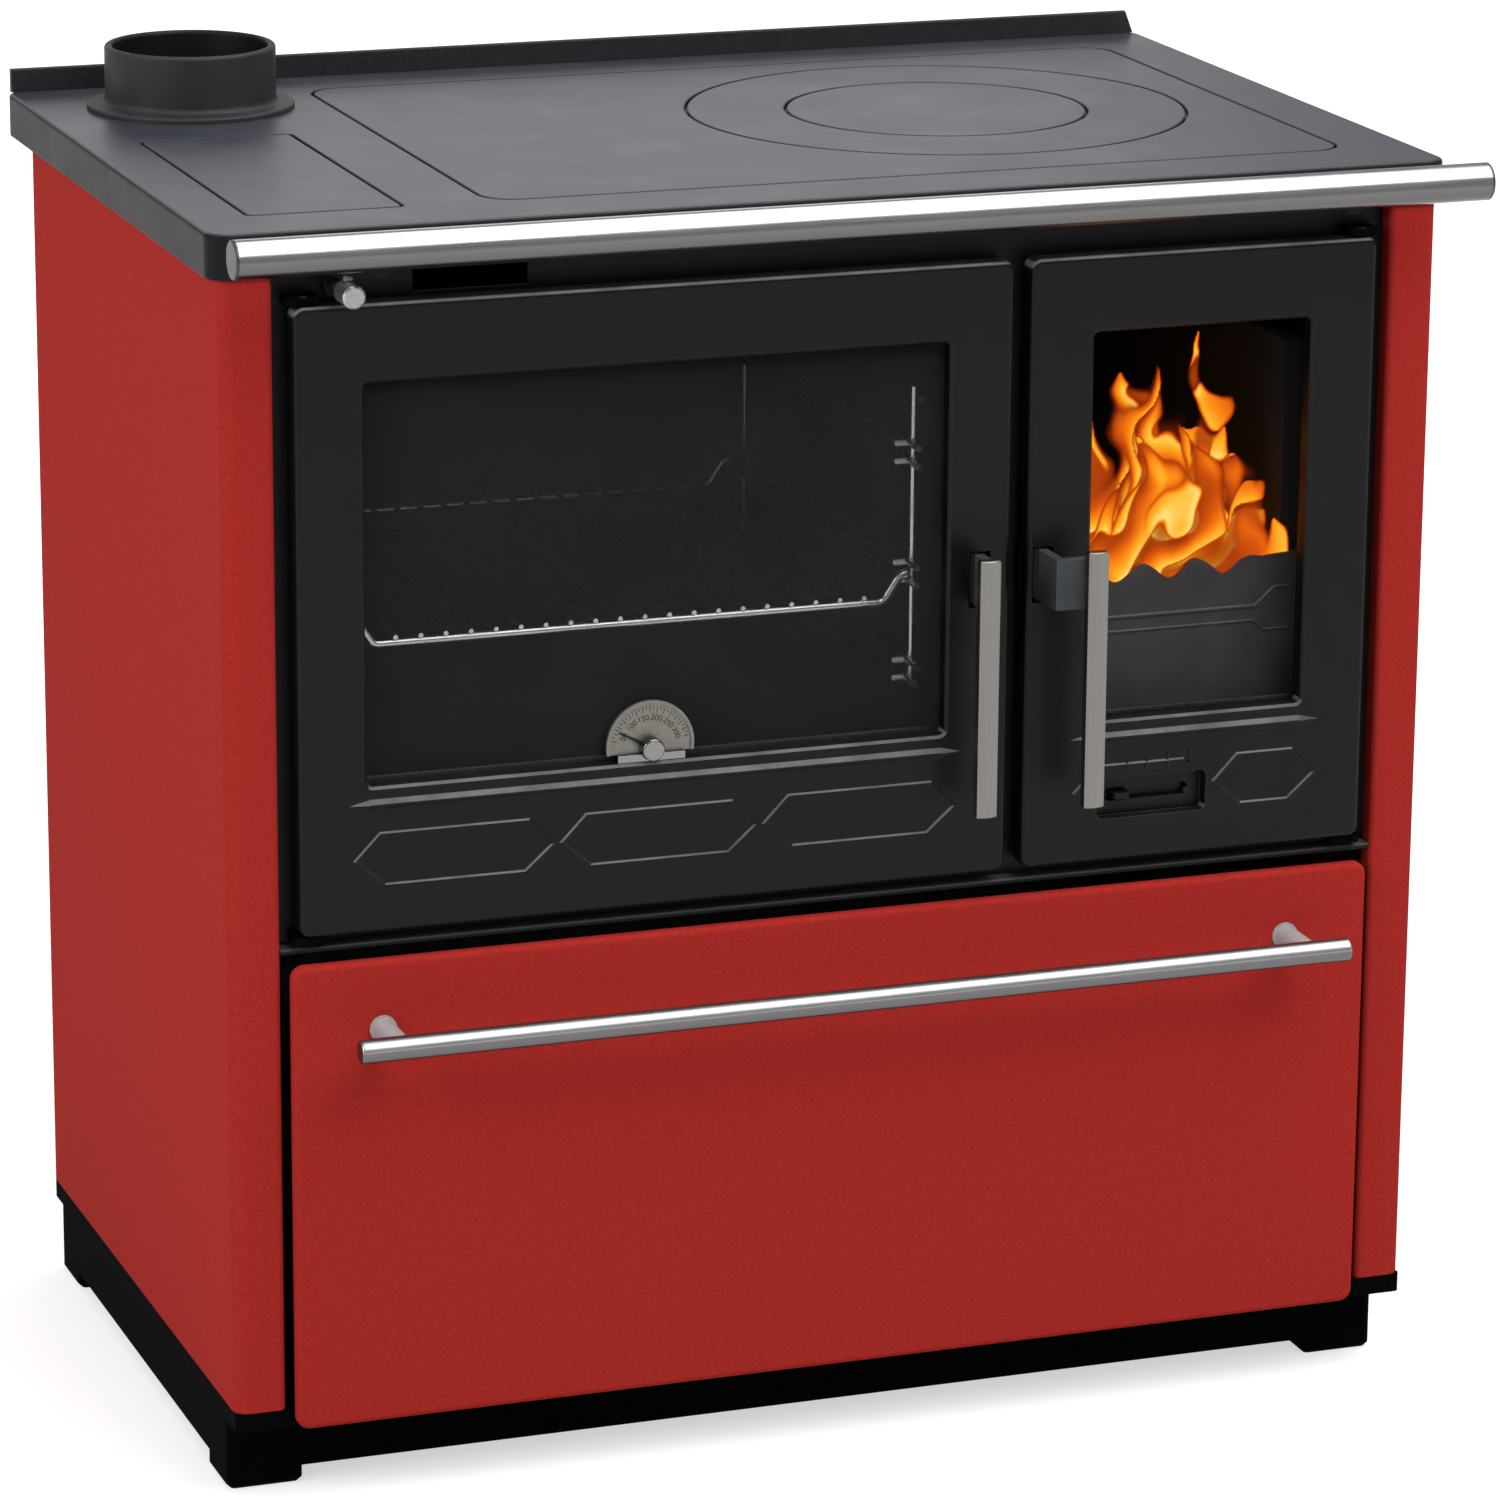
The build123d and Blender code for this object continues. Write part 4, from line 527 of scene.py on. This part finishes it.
FINISHES = {
    "red_enamel": red_enamel,
    "black_sheet": black_sheet,
    "hob_iron": hob_iron,
    "door_iron": door_iron,
    "rail_steel": polished_steel,
    "satin_steel": grip_steel,
    "plain_steel": plain_steel,
    "zinc_sheet": zinc_sheet,
    "oven_enamel": oven_enamel,
    "heat_glass": heat_glass,
    "firebrick": firebrick,
    "seal_rope": seal_rope,
    "dial_face": dial_face,
    "needle_paint": needle_paint,
}
OWN_FINISH = {
    "flue_collar": collar_iron,
    "log_guard": guard_iron,
    "fire_glass": fire_glass,
    "fire_latch_lever": lever_iron,
    "oven_latch_lever": lever_iron,
    "front_frame": frame_black,
    "rear_upstand": grey_paint,
    "rail_brackets": frame_black,
    "hand_rail": rail_tube,
    "rail_end_caps": rail_cap,
    "damper_bush": frame_black,
    "damper_knob": knob_zinc,
    "damper_plate": flue_soot,
    "flue_divider": flue_soot,
    "air_slider": door_iron,
    "drawer_handle_bar": pull_steel,
    "drawer_handle_posts": post_lacquer,
    "oven_rack": wire_steel,
    "oven_runner_left": wire_steel,
    "oven_runner_right": wire_steel,
}
for part in frame["record"]["subparts"]:
    mesh = nodes[part["node"]].data
    mesh.materials.clear()
    mesh.materials.append(OWN_FINISH.get(part["node"], FINISHES[part["material_slot"]]))


# Small pieces that the CAD leaves to the dressing

def piece(name, data, body, finish, place=None):
    """Puts a mesh or text into the scene on a body, with its finish, at a place where one is given."""
    made = bpy.data.objects.new(name, data)
    if place is not None:
        made.matrix_world = place
    bpy.context.scene.collection.objects.link(made)
    data.materials.append(finish)
    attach(made, body)


def bead_along(shape, path, width, rise, face):
    """Adds a raised bead with a narrower crown along (x, z) points on an upright face."""
    points = [Vector(p) for p in path]
    runs = [(b - a).normalized() for a, b in zip(points, points[1:])]
    rows = []
    for point, before, after in zip(points, runs[:1] + runs, runs + runs[-1:]):
        way = (before + after).normalized()
        across = Vector((-way.y, way.x)) / max(BEAD_MITRE, way.dot(after))
        row = []
        for offset, height in BEAD_PROFILE:
            spot = point + across * width * offset
            row.append(shape.verts.new((spot.x * MM, (face - height * rise) * MM, spot.y * MM)))
        rows.append(row)
    for low, high in zip(rows, rows[1:]):
        for k in range(len(BEAD_PROFILE)):
            shape.faces.new((low[k - 1], low[k], high[k], high[k - 1]))
    shape.faces.new(rows[0][::-1])
    shape.faces.new(rows[-1])


def shaped(name, shape):
    """Turns the gathered shape into a mesh with outward faces."""
    bmesh.ops.recalc_face_normals(shape, faces=shape.faces)
    mesh = bpy.data.meshes.new(name)
    shape.to_mesh(mesh)
    shape.free()
    return mesh


# Air marks over the slider: four cast ticks of growing height, each with its x from the slider's end
ticks = bmesh.new()
tick_foot = slider_high.z + TICK_LIFT
for along, height in TICKS:
    tick_x = slider_low.x + along
    bead_along(ticks, [(tick_x, tick_foot), (tick_x, tick_foot + height)], TICK_WIDTH, TICK_RISE, door_face)
piece("air_slider_marks", shaped("air_slider_marks", ticks), "fire_door", door_iron)

# Folded sheet that closes the hob's rear overhang from below, between the back panel and the rear skirt
fold = bmesh.new()
sheet_front = box_mm("back_panel")[0].y + CLOSING_GAP
sheet_back = hob_high.y - HOB_SKIRT - CLOSING_GAP
sheet_under = hob_low.z + CLOSING_LIFT
sheet_over = sheet_under + CLOSING_SHEET
sheet_top = sheet_under + CLOSING_LIP
lip_front = sheet_back - CLOSING_SHEET
section = (
    (sheet_front, sheet_under),
    (lip_front, sheet_under),
    (sheet_back, sheet_over),
    (sheet_back, sheet_top),
    (lip_front, sheet_top),
    (lip_front, sheet_over + CLOSING_INNER_BEND),
    (lip_front - CLOSING_INNER_BEND, sheet_over),
    (sheet_front, sheet_over),
)
ends = [[fold.verts.new((x * MM, y * MM, z * MM)) for y, z in section]
        for x in (hob_low.x + CLOSING_INSET, hob_high.x - CLOSING_INSET)]
for k in range(len(section)):
    fold.faces.new((ends[0][k - 1], ends[0][k], ends[1][k], ends[1][k - 1]))
for end in ends:
    fold.faces.new(end)
piece("hob_rear_closing_sheet", shaped("hob_rear_closing_sheet", fold), "stove", flue_soot)

# Two pressed lines on the log guard, each with its width, rise and (x, z) points
lines = bmesh.new()
for width, rise, path in GUARD_LINES:
    bead_along(lines, path, width, rise, guard_face)
piece("log_guard_lines", shaped("log_guard_lines", lines), "stove", guard_iron)

# Ends of the runner wires, turned in at the front of the oven: a straight wire and its chamfered tip
stubs = bmesh.new()
stub_y = runner_low.y + RUNNER_UPRIGHT_INSET
for wall, inward in zip(oven_walls, (1.0, -1.0)):
    for level in (runner_low.z + step + rise for step in RUNNER_STEPS for rise in (0.0, RUNNER_PAIR)):
        for near, length, tip in ((STUB_START, STUB_LENGTH, STUB_RADIUS),
                                  (STUB_START + STUB_LENGTH, STUB_TIP, STUB_TIP_RADIUS)):
            spot = Vector((wall + inward * (near + length / 2), stub_y, level)) * MM
            lying = Matrix.Translation(spot) @ Matrix.Rotation(inward * math.pi / 2, 4, "Y")
            bmesh.ops.create_cone(stubs, cap_ends=True, segments=16, radius1=STUB_RADIUS * MM,
                                  radius2=tip * MM, depth=length * MM, matrix=lying)
piece("oven_runner_ends", shaped("oven_runner_ends", stubs), "stove", wire_end)


def flame_heat(x, z, seed, tongues):
    """Heat at a place in a sheet of flame: bright at the edge of each fold, nought outside its tongues."""
    rise = z - FLAME_FOOT
    sway = (0.13 * rise + 15.0) * noise.noise((x / 42.0, z / 55.0, seed))
    curl = (0.08 * rise + 8.0) * noise.noise((x / 22.0, z / 30.0, seed + 7.0))
    drawn_x = x + sway + curl
    drawn_z = z + 14.0 * noise.noise((x / 30.0, z / 38.0, seed + 13.0))
    body = 0.0
    for centre, half, tall, lean in tongues:
        up = rise / tall
        if up < 1.0:
            off = (drawn_x - centre - lean * up ** 1.5) / (half * (1.0 - up) ** 0.6 + 0.01)
            body = max(body, (1.0 - off * off) * (1.0 - 0.45 * up))
    phase = (0.8 * drawn_x - 0.45 * drawn_z) / 36.0
    phase += 1.7 * noise.noise((drawn_x / 46.0, drawn_z / 62.0, seed + 3.0))
    fold = phase - math.floor(phase)
    fold = fold ** 1.2 if fold < 0.94 else (1.0 - fold) / 0.06
    thin = max(0.0, noise.noise((drawn_x / 24.0, drawn_z / 30.0, seed + 17.0)))
    return 1.1 * min(1.0, body * 2.2) * (0.23 + 0.77 * fold - 0.2 * thin) * (0.72 + 0.28 * body)


def flame_sheet(name, depth, seed, tongues):
    """One bowed sheet of flame: a fine grid that carries its heat, cut away where there is none."""
    shape = bmesh.new()
    heat = shape.verts.layers.float.new("flame_warmth")
    grid = []
    for row in range(FLAME_ROWS):
        z = FLAME_FOOT + FLAME_STEP * row
        line = []
        for column in range(FLAME_COLUMNS):
            x = FLAME_LEFT + FLAME_STEP * column
            bow = FLAME_BOW * noise.noise((x / 40.0, z / 50.0, seed + 20.0))
            vert = shape.verts.new((x * MM, (depth + bow) * MM, z * MM))
            vert[heat] = flame_heat(x, z, seed, tongues)
            line.append(vert)
        grid.append(line)
    for low, high in zip(grid, grid[1:]):
        for k in range(FLAME_COLUMNS - 1):
            corners = (low[k], low[k + 1], high[k + 1], high[k])
            if any(v[heat] > 0.0 for v in corners):
                shape.faces.new(corners)
    bmesh.ops.delete(shape, geom=[v for v in shape.verts if not v.link_faces], context="VERTS")
    piece(name, shaped(name, shape), "stove", wood_flame)


# Fire on the grate: three sheets of flame one behind the other, each tongue with its x, half width, height
# and lean
flame_sheet("flame_front", -194.0, 2.0, ((188.0, 28.0, 84.0, 8.0), (222.0, 34.0, 116.0, 12.0),
                                         (262.0, 36.0, 122.0, -6.0), (296.0, 28.0, 80.0, 6.0),
                                         (318.0, 18.0, 52.0, 4.0)))
flame_sheet("flame_middle", -182.0, 5.0, ((192.0, 36.0, 126.0, -4.0), (240.0, 42.0, 160.0, -4.0),
                                          (268.0, 22.0, 182.0, 8.0), (292.0, 30.0, 96.0, 8.0)))
flame_sheet("flame_back", -150.0, 11.0, ((190.0, 36.0, 128.0, 6.0), (244.0, 46.0, 150.0, -10.0),
                                         (286.0, 30.0, 108.0, 8.0)))


def on_dial(radius, turn):
    """(x, z) on the dial at a radius from the hub and a turn from straight up."""
    return dial_hub.x + radius * math.sin(turn), dial_hub.z + radius * math.cos(turn)


# Dial scale: ticks and numbers round the hub
scale = bmesh.new()
for step in range(-DIAL_HALF_TICKS, DIAL_HALF_TICKS + 1):
    turn = math.radians(step * DIAL_TICK_TURN)
    inner = DIAL_TICK_LONG if step % 2 == 0 else DIAL_TICK_SHORT
    bead_along(scale, [on_dial(r, turn) for r in (inner, DIAL_TICK_OUTER)], DIAL_TICK_WIDTH, DIAL_TICK_RISE,
               dial_face_y)
piece("dial_scale", shaped("dial_scale", scale), "oven_door", print_black)
for count, number in enumerate(("50", "100", "150", "200", "250", "300")):
    turn = math.radians(NUMBER_FIRST_TURN + NUMBER_TURN * count)
    words = bpy.data.curves.new("dial_number_" + number, "FONT")
    words.body = number
    words.size = NUMBER_SIZE * MM
    words.extrude = NUMBER_RISE * MM
    words.align_x = "CENTER"
    words.align_y = "CENTER"
    x, z = on_dial(NUMBER_RADIUS, turn)
    upright = Matrix.Rotation(math.pi / 2, 4, "X") @ Matrix.Rotation(-turn, 4, "Z")
    piece("dial_number_" + number, words, "oven_door", print_black,
          Matrix.Translation(Vector((x, dial_face_y - NUMBER_RISE, z)) * MM) @ upright)

# Clamp screw on top of the damper knob: a bevelled hexagon head on a shank
screw = bmesh.new()
bmesh.ops.create_cone(screw, cap_ends=True, segments=6, radius1=SCREW_HEAD_RADIUS * MM,
                      radius2=SCREW_HEAD_RADIUS * MM, depth=SCREW_HEAD * MM)
bmesh.ops.bevel(screw, geom=[e for e in screw.edges if all(v.co.z > 0 for v in e.verts)],
                offset=SCREW_BEVEL * MM, segments=2, affect="EDGES")
bmesh.ops.create_cone(screw, cap_ends=True, segments=24, radius1=SCREW_RADIUS * MM, radius2=SCREW_RADIUS * MM,
                      depth=SCREW_LENGTH * MM, matrix=Matrix.Translation((0, 0, -SCREW_HEAD * MM)))
screw_place = Vector((middle("damper_rod").x, knob_high.y - SCREW_FROM_REAR, knob_high.z + SCREW_LIFT)) * MM
screw.transform(Matrix.Translation(screw_place))
piece("damper_clamp_screw", shaped("damper_clamp_screw", screw), "damper", plain_steel)


# Floor, light and camera

def studio_floor():
    """Pale matt floor that stays white to the eye away from the range and keeps its shadow."""
    made, tree = material("pale_studio_floor")
    place = add(tree, "TexCoord").outputs["Object"]
    reach = add(tree, "VectorMath", {0: place}, operation="LENGTH").outputs["Value"]
    far = mapped(tree, reach, 0.7, 2.6, 0.6, 1.0, interpolation_type="SMOOTHSTEP")
    path = add(tree, "LightPath").outputs
    seen = maths(tree, "MAXIMUM", path["Is Camera Ray"], path["Is Glossy Ray"])
    seen = maths(tree, "MAXIMUM", seen, path["Is Transmission Ray"])
    matt = add(tree, "BsdfDiffuse", {"Color": linear("#C4C4C4")})
    glow = add(tree, "Emission", {"Color": linear("#FFFFFF"), "Strength": maths(tree, "MULTIPLY", seen, far)})
    both = add(tree, "AddShader", {0: matt.outputs["BSDF"], 1: glow.outputs["Emission"]})
    add(tree, "OutputMaterial", {"Surface": both.outputs["Shader"]})
    return made


ground = bmesh.new()
bmesh.ops.create_circle(ground, cap_ends=True, segments=96, radius=FLOOR_RADIUS)
floor = bpy.data.objects.new("studio_floor", shaped("studio_floor", ground))
floor.data.materials.append(studio_floor())
bpy.context.scene.collection.objects.link(floor)

world = bpy.data.worlds.new("studio_light")
world.use_nodes = True
world.node_tree.nodes.clear()
sky = add(world.node_tree, "Background", {"Color": linear("#FFFFFF"), "Strength": 0.4})
add(world.node_tree, "OutputWorld", {"Surface": sky.outputs["Background"]})
bpy.context.scene.world = world


def softbox(name, place, aim, size, watts):
    """A soft lamp of this size in metres, turned to its aim and left out of the picture itself."""
    lamp = bpy.data.lights.new(name, "AREA")
    lamp.shape = "RECTANGLE"
    lamp.size, lamp.size_y = size
    lamp.energy = watts
    made = bpy.data.objects.new(name, lamp)
    made.location = place
    made.rotation_euler = (Vector(aim) - Vector(place)).to_track_quat("-Z", "Y").to_euler()
    made.visible_camera = False
    bpy.context.scene.collection.objects.link(made)


softbox("front_softbox", (1.1, -2.1, 3.15), (0.1, -0.2, 0.7), (3.0, 2.0), 84.0)
softbox("top_softbox", (0.6, 0.1, 3.6), (0.4, 0.0, 0.85), (3.0, 3.0), 88.0)
softbox("left_softbox", (-3.4, -1.0, 2.0), (-0.3, 0.0, 0.5), (2.0, 2.0), 66.0)
softbox("back_softbox", (0.3, 4.5, 2.0), (0.0, 0.0, 0.85), (4.0, 2.5), 25.0)

yaw, pitch, roll = (math.radians(turn) for turn in CAMERA_TURNS)
ahead = Vector((math.sin(yaw) * math.cos(pitch), math.cos(yaw) * math.cos(pitch), -math.sin(pitch)))
right = Vector((math.cos(yaw), -math.sin(yaw), 0.0))
up = right.cross(ahead)
turned_right = right * math.cos(roll) + up * math.sin(roll)
turned_up_way = up * math.cos(roll) - right * math.sin(roll)
lens = bpy.data.cameras.new("camera")
lens.sensor_fit = "HORIZONTAL"
lens.sensor_width = CAMERA_SENSOR
lens.lens = CAMERA_LENS
camera = bpy.data.objects.new("camera", lens)
axes = Matrix((turned_right, turned_up_way, -ahead)).transposed()
camera.matrix_world = Matrix.Translation(CAMERA_PLACE) @ axes.to_4x4()
bpy.context.scene.collection.objects.link(camera)
bpy.context.scene.camera = camera
bpy.context.scene.view_settings.view_transform = "Standard"
